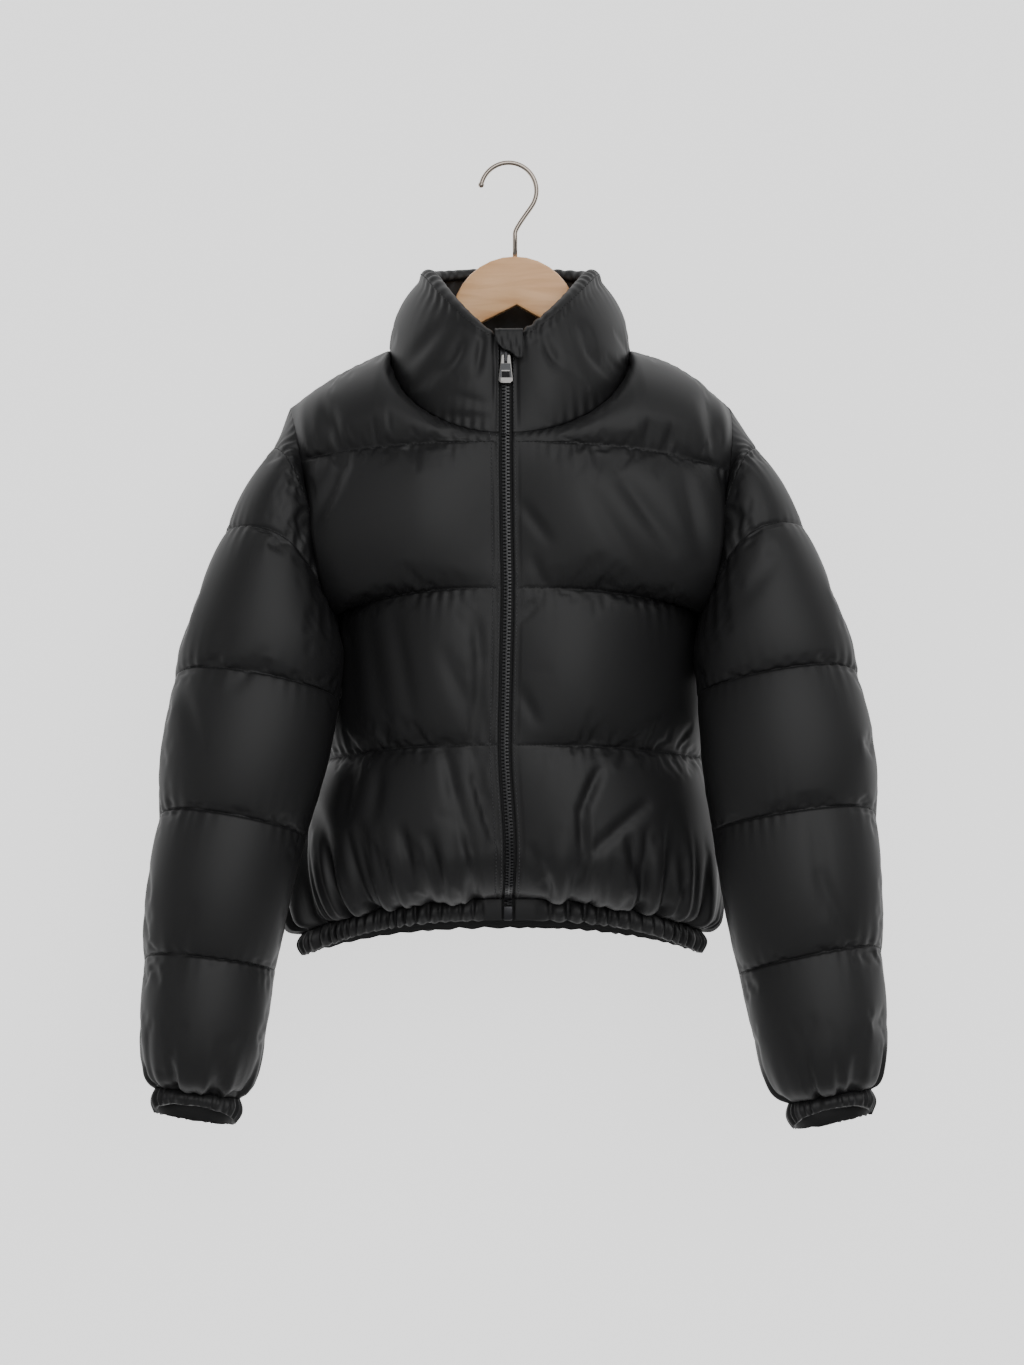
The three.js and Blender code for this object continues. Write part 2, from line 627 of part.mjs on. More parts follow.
// The slopes of a wall's base surface, along its rows and across them, taken inside the wall at an
// edge.
function slopes(wall, at, level) {
  const low = wall.outer[0].level;
  const high = wall.outer[wall.outer.length - 1].level;
  const before = wall.closed ? at - STEP : Math.max(0, at - STEP);
  const after = wall.closed ? at + STEP : Math.min(1, at + STEP);
  const below = Math.max(low, level - STEP);
  const above = Math.min(high, level + STEP);
  return {
    along: wall.point(after, level).sub(wall.point(before, level)),
    across: wall.point(at, above).sub(wall.point(at, below)),
  };
}

function rawNormal(wall, at, level) {
  const { along, across } = slopes(wall, at, level);
  return along.cross(across).normalize().multiplyScalar(wall.outward);
}

// Which side of the surface is the outside, from a point that lies inside the garment.
function setOutward(wall, inside) {
  wall.outward = 1;
  const level = wall.outer[Math.floor(wall.outer.length / 2)].level;
  const normal = rawNormal(wall, 0.42, level);
  if (normal.dot(wall.point(0.42, level).sub(inside)) < 0) wall.outward = -1;
}

const spot = (p) => [p.x, p.y, p.z].map((n) => n.toFixed(2)).join();

function edgesAt(wall, at, level) {
  const low = wall.outer[0].level;
  const high = wall.outer[wall.outer.length - 1].level;
  return {
    start: !wall.closed && at === 0,
    end: !wall.closed && at === 1,
    low: level === low,
    high: level === high,
  };
}

// Pieces that meet at a seam share one normal there, so that their rims stay parallel.
function shareNormals(walls) {
  const shared = new Map();
  for (const wall of walls)
    for (const { level, places } of wall.outer)
      for (const at of places) {
        if (!Object.values(edgesAt(wall, at, level)).includes(true)) continue;
        const key = spot(wall.point(at, level));
        if (!shared.has(key)) shared.set(key, vector(0, 0, 0));
        shared.get(key).add(rawNormal(wall, at, level));
      }
  return shared;
}

// A wall's point, moved off the base surface and, at a seam, back from its neighbour.
function wallPoint(wall, shared, at, level, distance) {
  const base = wall.point(at, level);
  const edges = edgesAt(wall, at, level);
  const key = spot(base);
  const onEdge = Object.values(edges).includes(true);
  const isShared = onEdge && shared.has(key);
  const normal = isShared ? shared.get(key).clone().normalize() : rawNormal(wall, at, level);
  const point = base.clone().addScaledVector(normal, distance);
  if (!onEdge) return point;
  const { along, across } = slopes(wall, at, level);
  const inward = vector(0, 0, 0);
  if (edges.start || edges.end) {
    inward.add(awayFrom(across, normal, along.multiplyScalar(edges.start ? 1 : -1)));
  }
  if (edges.low || edges.high) {
    inward.add(awayFrom(along, normal, across.multiplyScalar(edges.low ? 1 : -1)));
  }
  const low = wall.outer[0].level;
  const high = wall.outer[wall.outer.length - 1].level;
  const insideAt = edges.start ? INSIDE : edges.end ? 1 - INSIDE : at;
  const insideLevel = THREE.MathUtils.lerp(low, high, edges.low ? INSIDE : 1 - INSIDE);
  const inside = wall.point(insideAt, edges.low || edges.high ? insideLevel : level);
  const ease = inside.sub(base).setLength(CORNER_GAP * nearCorner(base));
  return point.addScaledVector(inward, SEAM_GAP / 2).add(ease);
}

// How near a point is to a corner where several pieces meet, from 0 to 1.
function nearCorner(point) {
  const corners = [-1, 1].flatMap((side) => [bodyPoint(-1, side, 1, 2), upperEdge(-1, side, NECK_SHARE)]);
  const distance = Math.min(...corners.map((corner) => point.distanceTo(corner)));
  return clamp(1 - distance / CORNER_EASE, 0, 1);
}

// The direction across a seam, in the wall's plane, on the side that into points to.
function awayFrom(seam, normal, into) {
  const direction = seam.clone().cross(normal).normalize();
  return direction.dot(into) < 0 ? direction.negate() : direction;
}

// Triangles between two rows whose points lie at rising places. Of two even choices the shorter edge
// is taken.
function stitch(points, triangles, low, high) {
  const length = (a, b) => points[a.index].distanceTo(points[b.index]);
  let i = 0;
  let j = 0;
  while (i < low.length - 1 || j < high.length - 1) {
    let alongLow = i < low.length - 1;
    if (alongLow && j < high.length - 1) {
      const lead = high[j + 1].at - low[i + 1].at;
      const shorter = length(low[i + 1], high[j]) <= length(low[i], high[j + 1]);
      alongLow = Math.abs(lead) > 1e-9 ? lead > 0 : shorter;
    }
    if (alongLow) {
      triangles.push(low[i].index, low[i + 1].index, high[j].index);
      i += 1;
    } else {
      triangles.push(low[i].index, high[j + 1].index, high[j].index);
      j += 1;
    }
  }
}

// The closed solid of a wall: its two faces and the rims between them.
function wallGeometry(wall, shared) {
  const points = [];
  const triangles = [];
  const place = (rows, distance) =>
    rows.map(({ level, places }) => {
      const row = places.map((at) => {
        points.push(wallPoint(wall, shared, at, level, distance(at, level)));
        return { at, level, index: points.length - 1 };
      });
      if (wall.closed) row.push({ ...row[0], at: 1 });
      return row;
    });
  const outer = place(wall.outer, (at, level) => WALL_OUT + wall.lift(at, level));
  const inner = place(wall.inner, () => -WALL_IN);
  for (let i = 0; i < outer.length - 1; i += 1) stitch(points, triangles, outer[i], outer[i + 1]);
  const inside = [];
  for (let i = 0; i < inner.length - 1; i += 1) stitch(points, inside, inner[i], inner[i + 1]);
  triangles.push(...inside.reverse());
  stitch(points, triangles, inner[0], outer[0]);
  stitch(points, triangles, outer[outer.length - 1], inner[inner.length - 1]);
  if (!wall.closed) {
    const edge = (rows, pick) => rows.map((row) => ({ at: pick(row).level, index: pick(row).index }));
    const first = (row) => row[0];
    const last = (row) => row[row.length - 1];
    stitch(points, triangles, edge(outer, first), edge(inner, first));
    const end = [];
    stitch(points, end, edge(outer, last), edge(inner, last));
    triangles.push(...end.reverse());
  }
  return solidGeometry(points, triangles);
}

// A geometry with its faces turned outwards.
function solidGeometry(points, triangles) {
  let volume = 0;
  for (let i = 0; i < triangles.length; i += 3) {
    const [a, b, c] = [0, 1, 2].map((k) => points[triangles[i + k]]);
    volume += a.dot(b.clone().cross(c));
  }
  if (volume < 0) triangles.reverse();
  const geometry = new THREE.BufferGeometry().setFromPoints(points);
  geometry.setIndex(triangles);
  return geometry;
}

// A bar swept through closed sections with equal counts of points, with flat ends.
function barGeometry(sections) {
  const count = sections[0].length;
  const points = sections.flat();
  const triangles = [];
  const row = (k) =>
    Array.from({ length: count + 1 }, (_, i) => ({ at: i, index: k * count + (i % count) }));
  for (let k = 0; k < sections.length - 1; k += 1) stitch(points, triangles, row(k), row(k + 1));
  const lastRow = (sections.length - 1) * count;
  for (let i = 1; i < count - 1; i += 1) {
    triangles.push(0, i + 1, i);
    triangles.push(lastRow, lastRow + i, lastRow + i + 1);
  }
  return solidGeometry(points, triangles);
}

// The middle line of the zip, from the band's free edge up to the collar's top, on the front's base
// surface.
function zipLine() {
  const middle = (point, zipX) => vector(zipX, point.y, point.z);
  const line = [];
  for (const h of [1, 0.75, 0.3]) line.push(middle(bandPoint(-1, -1, 0, h), bodyColumn("zipX", 0)));
  for (const { level } of innerPanelRows())
    line.push(middle(bodyPoint(-1, -1, 0, level), bodyColumn("zipX", Math.min(level, 3))));
  for (const h of [0.28, 0.72, 1]) line.push(middle(collarPoint(-1, -1, 0, h), bodyColumn("zipX", 3)));
  return line;
}

const ZIP_LINE = zipLine();

// The place on the zip line at a distance from its foot, with the directions along it and out of the
// front.
function zipPlace(distance) {
  let left = distance;
  let i = 0;
  while (i < ZIP_LINE.length - 2 && left > ZIP_LINE[i + 1].distanceTo(ZIP_LINE[i])) {
    left -= ZIP_LINE[i + 1].distanceTo(ZIP_LINE[i]);
    i += 1;
  }
  const step = ZIP_LINE[i + 1].clone().sub(ZIP_LINE[i]);
  const t = clamp(left / step.length(), 0, 1);
  const last = ZIP_LINE.length - 1;
  const tangent = (k) => ZIP_LINE[Math.min(last, k + 1)].clone().sub(ZIP_LINE[Math.max(0, k - 1)]);
  const along = tangent(i).normalize().lerp(tangent(i + 1).normalize(), t).normalize();
  const out = vector(0, -along.z, along.y).normalize();
  return { point: ZIP_LINE[i].clone().addScaledVector(step, t), along, out };
}

const ZIP_DISTANCES = [0];
ZIP_LINE.slice(1).forEach((point, i) => {
  ZIP_DISTANCES.push(ZIP_DISTANCES[i] + point.distanceTo(ZIP_LINE[i]));
});
const ZIP_LENGTH = ZIP_DISTANCES[ZIP_DISTANCES.length - 1];

// A strip beside the zip's middle, between two distances across it and two depths out of the base
// surface.
function zipStrip(fromX, toX, fromOut, toOut, fromLength, toLength) {
  const inside = ZIP_DISTANCES.filter((d) => d > fromLength + 1 && d < toLength - 1);
  const sections = [fromLength, ...inside, toLength].map((distance) => {
    const { point, out } = zipPlace(distance);
    const corner = (x, depth) => point.clone().add(vector(x, 0, 0)).addScaledVector(out, depth);
    return [corner(fromX, fromOut), corner(toX, fromOut), corner(toX, toOut), corner(fromX, toOut)];
  });
  return barGeometry(sections);
}

const TAPE_FRONT = -WALL_IN - 0.6;
const TAPE_BACK = TAPE_FRONT - TAPE_DEPTH;
const CHAIN_BACK = TAPE_FRONT + 0.3;

// A solid from manifold-3d as a geometry, and the other way round.
function toManifold(geometry) {
  const bare = geometry.index ? geometry.toNonIndexed() : geometry.clone();
  bare.deleteAttribute("normal");
  bare.deleteAttribute("uv");
  const merged = mergeVertices(bare, 1e-3);
  return new wasm.Manifold(
    new wasm.Mesh({
      numProp: 3,
      vertProperties: new Float32Array(merged.attributes.position.array),
      triVerts: new Uint32Array(merged.index.array),
    }),
  );
}

function fromManifold(solid) {
  const mesh = solid.getMesh();
  const geometry = new THREE.BufferGeometry();
  geometry.setAttribute("position", new THREE.BufferAttribute(new Float32Array(mesh.vertProperties), 3));
  geometry.setIndex(new THREE.BufferAttribute(new Uint32Array(mesh.triVerts), 1));
  return geometry;
}

// Hanger
const HOOK = {
  wire: 4,
  bend: 24,
  bendX: -1.3,
  stemX: 4.3,
  stemFoot: -100,
  tipAngle: 168,
  turnAngle: -34,
  kneeZ: -50,
};
const HANGER = {
  thickness: 13,
  bevel: 2.5,
  headX: 3.9,
  top: -79,
  domeRadius: 54,
  notchX: 5.8,
  notchZ: -121,
  footX: 30,
  footZ: -137,
};
const HANGER_ARM = { endX: 174, height: 22, seat: 4.8, neckSeat: 1.6 };

// A box between two corners, and a bar between two points along X.
function boxBetween(low, high) {
  const size = high.clone().sub(low);
  return new THREE.BoxGeometry(size.x, size.y, size.z).translate(
    (low.x + high.x) / 2,
    (low.y + high.y) / 2,
    (low.z + high.z) / 2,
  );
}

function barAcross(halfLength, radius, out) {
  const bar = new THREE.CylinderGeometry(radius, radius, 2 * halfLength, 16);
  return bar.rotateZ(Math.PI / 2).translate(0, -out, 0);
}

// The slider, the pull and the garage are drawn upright about the pull's pivot on the zip line, then
// set in place: -Y is out of the front and Z runs up the zip.
function pivotPlace() {
  let low = 0;
  let high = ZIP_LENGTH;
  while (high - low > 0.01) {
    const middle = (low + high) / 2;
    if (zipPlace(middle).point.z < SLIDER_Z) low = middle;
    else high = middle;
  }
  return { distance: low, ...zipPlace(low) };
}

const PIVOT = pivotPlace();

function ontoZip(geometry, place = PIVOT) {
  const lean = Math.atan2(place.along.y, place.along.z);
  return geometry.rotateX(-lean).translate(place.point.x, place.point.y, place.point.z);
}

function slider() {
  const half = SLIDER.width / 2;
  const plate = boxBetween(
    vector(-half, -SLIDER.plateFront, SLIDER.bottom),
    vector(half, -SLIDER.plateBack, SLIDER.top),
  );
  const flange = (side) =>
    boxBetween(
      vector(side < 0 ? -half : SLIDER.flangeInside, -SLIDER.plateFront, SLIDER.bottom),
      vector(side < 0 ? -SLIDER.flangeInside : half, -SLIDER.flangeBack, SLIDER.top),
    );
  const crown = boxBetween(
    vector(-CROWN.halfWidth, -CROWN.front, -CROWN.reach),
    vector(CROWN.halfWidth, -SLIDER.plateFront + 0.5, CROWN.reach),
  );
  const hollow = boxBetween(
    vector(-2, -CROWN.hollowFront, -CROWN.hollow),
    vector(2, -SLIDER.plateFront, CROWN.hollow),
  );
  const solid = toManifold(plate)
    .add(toManifold(flange(-1)))
    .add(toManifold(flange(1)))
    .add(toManifold(crown))
    .subtract(toManifold(hollow));
  return ontoZip(fromManifold(solid));
}

// The pull: a plate that widens downwards, with an eye round the crown and a window near its foot.
function pull() {
  const outline = new THREE.Shape();
  const top = PULL.topWidth / 2;
  const bottom = PULL.bottomWidth / 2;
  outline.moveTo(-top, 0);
  outline.lineTo(-bottom, -PULL.length + 2);
  outline.lineTo(-bottom + 2, -PULL.length);
  outline.lineTo(bottom - 2, -PULL.length);
  outline.lineTo(bottom, -PULL.length + 2);
  outline.lineTo(top, 0);
  outline.closePath();
  const plate = new THREE.ExtrudeGeometry(outline, { depth: PULL.thickness, bevelEnabled: false });
  plate.translate(0, 0, -PULL.thickness / 2).rotateX(Math.PI / 2).translate(0, -PULL.out, 0);
  const eye = boxBetween(
    vector(-PULL.slot, -PULL.out - 3, -PULL.eye),
    vector(PULL.slot, -PULL.out + 3, 3),
  );
  const windowHole = boxBetween(
    vector(-PULL_WINDOW.width / 2, -PULL.out - 3, -PULL_WINDOW.bottom),
    vector(PULL_WINDOW.width / 2, -PULL.out - 3 + 2.6, -PULL_WINDOW.top),
  );
  const solid = toManifold(plate)
    .add(toManifold(barAcross(top, PULL.thickness / 2, PULL.out)))
    .subtract(toManifold(eye))
    .add(toManifold(barAcross(top - 0.5, PULL.bar, PULL.out)))
    .subtract(toManifold(windowHole));
  return ontoZip(fromManifold(solid));
}

// The garage: a strip of cloth folded over the zip's top, with its front flap down to the pull.
function garage() {
  const { front, back, wall, bottom, top, tail } = GARAGE;
  const shape = new THREE.Shape();
  const outline = [
    [front, bottom],
    [front + wall, bottom],
    [front + wall, top],
    [front + wall - 2, top + wall],
    [back - wall + 1, top + wall],
    [back - wall, top],
    [back - wall, tail],
    [back, tail],
    [back, top - 0.6],
    [back + 0.6, top],
    [front - 0.6, top],
    [front, top - 0.6],
  ];
  outline.forEach(([out, z], i) => (i ? shape.lineTo(out, z) : shape.moveTo(out, z)));
  shape.closePath();
  const fold = new THREE.ExtrudeGeometry(shape, { depth: GARAGE.right - GARAGE.left, bevelEnabled: false });
  fold.rotateX(Math.PI / 2).rotateZ(-Math.PI / 2).translate(GARAGE.right, 0, 0);
  return ontoZip(fold);
}

function zipBox() {
  const half = BOX.width / 2;
  const box = boxBetween(
    vector(-half, -BOX.front, -BOX.height / 2),
    vector(half, -CHAIN_BACK, BOX.height / 2),
  );
  return ontoZip(box, zipPlace(CHAIN.lowest / 2 + 0.5));
}

// The hook's middle line: a bend over the rail, then a straight run into the stem.
function hookLine() {
  const centreZ = HOOK.wire / 2 - HOOK.bend;
  const points = [];
  for (let angle = HOOK.tipAngle; angle >= HOOK.turnAngle; angle -= 14) {
    const a = radians(angle);
    points.push(vector(HOOK.bendX + HOOK.bend * Math.cos(a), 0, centreZ + HOOK.bend * Math.sin(a)));
  }
  points.push(vector(HOOK.stemX + 3.2, 0, HOOK.kneeZ + 4));
  points.push(vector(HOOK.stemX + 0.3, 0, HOOK.kneeZ - 1));
  points.push(vector(HOOK.stemX, 0, HOOK.kneeZ - 7));
  points.push(vector(HOOK.stemX, 0, HOOK.stemFoot));
  return points;
}

function hook() {
  const line = hookLine();
  const sides = 8;
  const sections = line.map((point, i) => {
    const along = line[Math.min(line.length - 1, i + 1)].clone().sub(line[Math.max(0, i - 1)]).normalize();
    const across = vector(along.z, 0, -along.x);
    return Array.from({ length: sides }, (_, k) => {
      const a = (2 * Math.PI * k) / sides;
      return point
        .clone()
        .addScaledVector(across, (HOOK.wire / 2) * Math.cos(a))
        .add(vector(0, (HOOK.wire / 2) * Math.sin(a), 0));
    });
  });
  const bead = new THREE.SphereGeometry(HOOK.wire * 0.66, 10, 7).translate(line[0].x, line[0].y, line[0].z);
  return fromManifold(toManifold(barGeometry(sections)).add(toManifold(bead)));
}

// The upper edge of a hanger arm, just under the shoulder seam.
function armTop(side, x) {
  const share = clamp((x - NECK_SIDE.x) / (SHOULDER_TIP.x - NECK_SIDE.x), 0, 1);
  return upperEdge(-1, side, NECK_SHARE + (1 - NECK_SHARE) * share).z - WALL_IN - HANGER_ARM.seat;
}

function hangerWood() {
  const shape = new THREE.Shape();
  const domeZ = HANGER.top - HANGER.domeRadius;
  const armStart = radians(12);
  const rootZ = domeZ + HANGER.domeRadius * Math.sin(armStart);
  const half = (side) => {
    const root = side * HANGER.headX + HANGER.domeRadius * Math.cos(armStart);
    const neckZ = armTop(side, NECK_SIDE.x) - HANGER_ARM.neckSeat;
    const outline = [[root, rootZ]];
    for (const x of [70, 88])
      outline.push([x, THREE.MathUtils.lerp(rootZ - 4, neckZ, (x - root) / (NECK_SIDE.x - root))]);
    outline.push([104, armTop(side, 104) - HANGER_ARM.neckSeat]);
    for (const x of [122, 140, 158]) outline.push([x, armTop(side, x)]);
    const endZ = armTop(side, HANGER_ARM.endX);
    outline.push([HANGER_ARM.endX - 5, armTop(side, HANGER_ARM.endX - 5)]);
    outline.push([HANGER_ARM.endX + 3, endZ - 5]);
    outline.push([HANGER_ARM.endX + 5, endZ - 12]);
    outline.push([HANGER_ARM.endX, endZ - 19]);
    for (const x of [158, 122]) outline.push([x, armTop(side, x) - HANGER_ARM.height]);
    outline.push([88, neckZ - HANGER_ARM.height + 8]);
    outline.push([side * HANGER.headX + HANGER.footX + 22, HANGER.footZ - 11]);
    outline.push([side * HANGER.headX + HANGER.footX, HANGER.footZ]);
    return outline.map(([x, z]) => [side * x, z]);
  };
  const dome = [];
  for (let k = 1; k < 14; k += 1) {
    const a = Math.PI - armStart - ((Math.PI - 2 * armStart) * k) / 14;
    dome.push([HANGER.headX + HANGER.domeRadius * Math.cos(a), domeZ + HANGER.domeRadius * Math.sin(a)]);
  }
  const outline = [...half(-1).reverse(), ...dome, ...half(1), [HANGER.notchX, HANGER.notchZ]];
  outline.forEach(([x, z], i) => (i ? shape.lineTo(x, z) : shape.moveTo(x, z)));
  shape.closePath();
  const body = new THREE.ExtrudeGeometry(shape, {
    depth: HANGER.thickness - 2 * HANGER.bevel,
    bevelEnabled: true,
    bevelThickness: HANGER.bevel,
    bevelSize: HANGER.bevel,
    bevelOffset: -HANGER.bevel,
    bevelSegments: 2,
    steps: 1,
  });
  body.translate(0, 0, -HANGER.thickness / 2 + HANGER.bevel).rotateX(Math.PI / 2);
  const hole = new THREE.CylinderGeometry(HOOK.wire / 2 + 0.3, HOOK.wire / 2 + 0.3, 60, 12);
  hole.rotateX(Math.PI / 2).translate(HOOK.stemX, 0, HOOK.stemFoot - 0.3 + 30);
  return fromManifold(toManifold(body).subtract(toManifold(hole)));
}

function addMesh(group, name, geometry, color, roughness, metalness) {
  const mesh = new THREE.Mesh(geometry, new THREE.MeshStandardMaterial({ color, roughness, metalness }));
  mesh.name = name;
  group.add(mesh);
}

function build() {
  const group = new THREE.Group();
  const walls = [
    { wall: frontPanel(-1), inside: vector(-40, 0, -400) },
    { wall: frontPanel(1), inside: vector(40, 0, -400) },
    { wall: backPanel(), inside: vector(0, 0, -400) },
    { wall: collar(), inside: vector(0, -10, -150) },
    { wall: hemBand(), inside: vector(0, 0, -650) },
  ];
  for (const side of [-1, 1]) {
    const armX = side * 235;
    for (const face of [-1, 1]) {
      walls.push({ wall: sleevePanel(face, side), inside: vector(armX, -50, -520) });
    }
    walls.push({ wall: cuff(side), inside: vector(side * 265, -64, -800) });
  }
  walls.forEach(({ wall, inside }) => setOutward(wall, inside));
  const shared = shareNormals(walls.map(({ wall }) => wall));
  for (const { wall } of walls) addMesh(group, wall.name, wallGeometry(wall, shared), SHELL, 0.5, 0);
  const tape = (from, to) => zipStrip(from, to, TAPE_BACK, TAPE_FRONT, 0, ZIP_LENGTH - 0.5);
  addMesh(group, "zip_tape_left", tape(-ZIP_LEFT_EDGE - TAPE_UNDER, -0.2), TAPE, 0.8, 0);
  addMesh(group, "zip_tape_right", tape(0.2, ZIP_RIGHT_EDGE + TAPE_UNDER), TAPE, 0.8, 0);
  const halfChain = CHAIN.width / 2;
  const chainTop = PIVOT.distance + (ZIP_LENGTH - PIVOT.distance) * CHAIN.highest;
  const chainFront = CHAIN_BACK + CHAIN.depth;
  const chain = zipStrip(-halfChain, halfChain, CHAIN_BACK, chainFront, CHAIN.lowest + 2, chainTop);
  addMesh(group, "zip_chain", chain, TEETH, 0.35, 0.2);
  addMesh(group, "zip_slider", slider(), GUNMETAL, 0.3, 1);
  addMesh(group, "zip_pull", pull(), GUNMETAL, 0.3, 1);
  addMesh(group, "zip_box", zipBox(), GUNMETAL, 0.3, 1);
  addMesh(group, "zip_garage", garage(), SHELL, 0.5, 0);
  addMesh(group, "hanger_wood", hangerWood(), BEECH, 0.45, 0);
  addMesh(group, "hanger_hook", hook(), STEEL, 0.25, 1);
  return group;
}

export default build();
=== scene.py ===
"""Dresses a cropped black puffer jacket on a wooden hanger.

The CAD frame gives every piece its place. This script gives the jacket its padded cloth, gathered hem and
cuffs, zip teeth, stitches and finishes, and the hanger its wood and steel. Sizes in tables are millimetres,
+Z is up and the front is towards -Y. Left and right are as seen from the front.
"""

import logging
import math
from dataclasses import dataclass, fields
from enum import IntEnum
from typing import Optional, Sequence

import bmesh
import bpy
import numpy as np
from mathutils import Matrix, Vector


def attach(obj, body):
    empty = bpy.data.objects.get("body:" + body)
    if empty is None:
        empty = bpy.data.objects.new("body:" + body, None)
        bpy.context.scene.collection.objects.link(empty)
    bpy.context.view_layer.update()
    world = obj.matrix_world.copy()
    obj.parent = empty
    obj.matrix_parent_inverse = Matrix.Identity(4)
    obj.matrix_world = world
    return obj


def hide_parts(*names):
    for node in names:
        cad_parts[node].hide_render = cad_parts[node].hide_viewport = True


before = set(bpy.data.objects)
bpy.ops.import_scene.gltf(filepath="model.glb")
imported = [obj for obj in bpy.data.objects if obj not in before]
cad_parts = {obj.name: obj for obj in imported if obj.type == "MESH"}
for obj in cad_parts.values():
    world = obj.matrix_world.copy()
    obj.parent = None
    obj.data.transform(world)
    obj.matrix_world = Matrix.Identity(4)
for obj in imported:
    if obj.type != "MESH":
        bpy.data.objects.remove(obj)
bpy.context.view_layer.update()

MM = 0.001
JACKET = "jacket"
PULL_TAB = "pull_tab"

logging.basicConfig(level=logging.INFO, format="%(message)s")
log = logging.getLogger("puffer_jacket")

Array = np.ndarray


class Face(IntEnum):
    """The two faces of the garment."""

    FRONT = -1
    BACK = 1


class Side(IntEnum):
    """The two sides of the garment, as seen from the front."""

    LEFT = -1
    RIGHT = 1


# Tables of the form, in millimetres


@dataclass(frozen=True)
class BodyLevel:
    """A level of the body. v counts the stitch lines from the hem seam; side is the outermost point of the section."""

    v: float
    zip_x: float
    front_y: float
    front_z: float
    back_y: float
    back_z: float
    left_x: float
    right_x: float
    side_front_y: float
    side_back_y: float
    left_z: float
    right_z: float
    span: float
    seam_left: float
    seam_right: float


BODY_LEVELS = (
    BodyLevel(0, -1.6, -56, -627, 44, -640, -177, 163, -2, -2, -660, -658, 90, 60, 90),
    BodyLevel(0.1, -1, -76, -620, 72, -638, -185, 177, 8, 8, -650, -648, 90, 62, 89),
    BodyLevel(0.35, 0, -95, -587, 91, -602, -182, 175, 18, 18, -612, -610, 90, 68, 88),
    BodyLevel(1, -4.4, -98, -497, 92, -505, -163, 168, 30, 30, -513, -511, 90, 82, 88),
    BodyLevel(1.5, -3.2, -98, -430, 91, -438, -150, 162, 28, 28, -449, -447, 90, 87, 89),
    BodyLevel(2, -2, -97, -366, 89, -372, -151, 165, 2, 2, -388, -386, 90, 90, 90),
    BodyLevel(2.07, -2, -97, -357, 88, -363, -151.5, 165.5, -20, 23, -384, -382, 89, 90, 90),
    BodyLevel(2.2, -2.4, -96, -341, 87, -347, -154, 168, -41, 42, -370, -369, 86, 90, 90),
    BodyLevel(2.5, -3, -94, -304, 84, -311, -164, 177, -55, 54, -325, -329, 80, 90, 90),
    BodyLevel(3, -3.6, -91, -244, 76, -250, -177, 186, -46, 45, -257, -266, 70, 90, 90),
)


@dataclass(frozen=True)
class SleeveRing:
    """A ring of the sleeves. w counts the stitch lines; out and in are the outer and the under-arm seam."""

    w: float
    left_out_x: float
    left_out_z: float
    left_in_x: float
    left_in_z: float
    right_out_x: float
    right_out_z: float
    right_in_x: float
    right_in_z: float
    mid_y: float
    front: float
    back: float
    arch: float
    late: float


SLEEVE_RINGS = (
    SleeveRing(1, -203, -246, -147, -394, 211, -246, 161, -392, -5, 57, 56, 1, 2),
    SleeveRing(2, -243, -325, -145, -407, 251, -322, 159, -405, -19, 58, 54, 12, 3.6),
    SleeveRing(2.5, -261, -382, -142, -426, 271, -380, 157, -424, -34, 56, 51, 15, 1.7),
    SleeveRing(3, -283, -448, -145, -461, 294, -446, 159, -457, -46, 53, 47, 19, 1.1),
    SleeveRing(4, -295, -564, -172, -576, 308, -562, 171, -572, -58, 49, 43, 17, 1),
    SleeveRing(4.5, -301, -622, -188, -633, 309, -618, 182, -632, -61, 47, 42, 15, 1),
    SleeveRing(5, -307, -682, -198, -688, 312, -674, 193, -691, -63, 44, 40, 13, 1),
    SleeveRing(5.5, -307, -737, -208, -744, 313, -735, 207, -744, -64, 42, 39, 9, 1),
    SleeveRing(5.86, -304, -776, -219, -785, 310, -777, 221, -788, -64, 34, 32, 6, 1),
    SleeveRing(6, -298, -787, -228, -795, 303, -788, 235, -799, -64, 20, 19, 4, 1),
)

# Places on the garment, in millimetres: y and z at the front and the back, x, y and z at the sides

ARMHOLE_LEVELS = np.array([2, 2.07, 2.18, 2.33, 2.5, 2.68, 2.86, 3, 3.2, 3.45, 3.72, 4])
ZIP_LEFT_EDGE = 5.0
ZIP_RIGHT_EDGE = 5.4
NECK_SHARE = 0.5
NECK_FRONT = (-88.0, -236.0)
NECK_BACK = (45.0, -151.0)
NECK_SIDE = (103.0, 0.0, -160.0)
SHOULDER_TIP = (189.0, 2.0, -209.0)
SHOULDER_RISE = {Side.LEFT: 4.0, Side.RIGHT: 8.5}
YOKE_ROUNDNESS = 0.5
COLLAR_TOP_FRONT = (-73.0, -153.0)
COLLAR_TOP_BACK = (48.0, -86.0)
COLLAR_TOP_SIDE = (72.0, 12.0, -91.0)
CUFF_DROP_MIDDLE = 20.0
CUFF_DROP = {Face.FRONT: 11.0, Face.BACK: 29.0}
CUFF_LEAN_X = 4.0
CUFF_LEAN_Y = -2.0
BAND_DROP = 19.0
BAND_TUCK = 0.97
STEP = 0.01

# Heights, reaches and numbers of the padding and the gathers, in millimetres

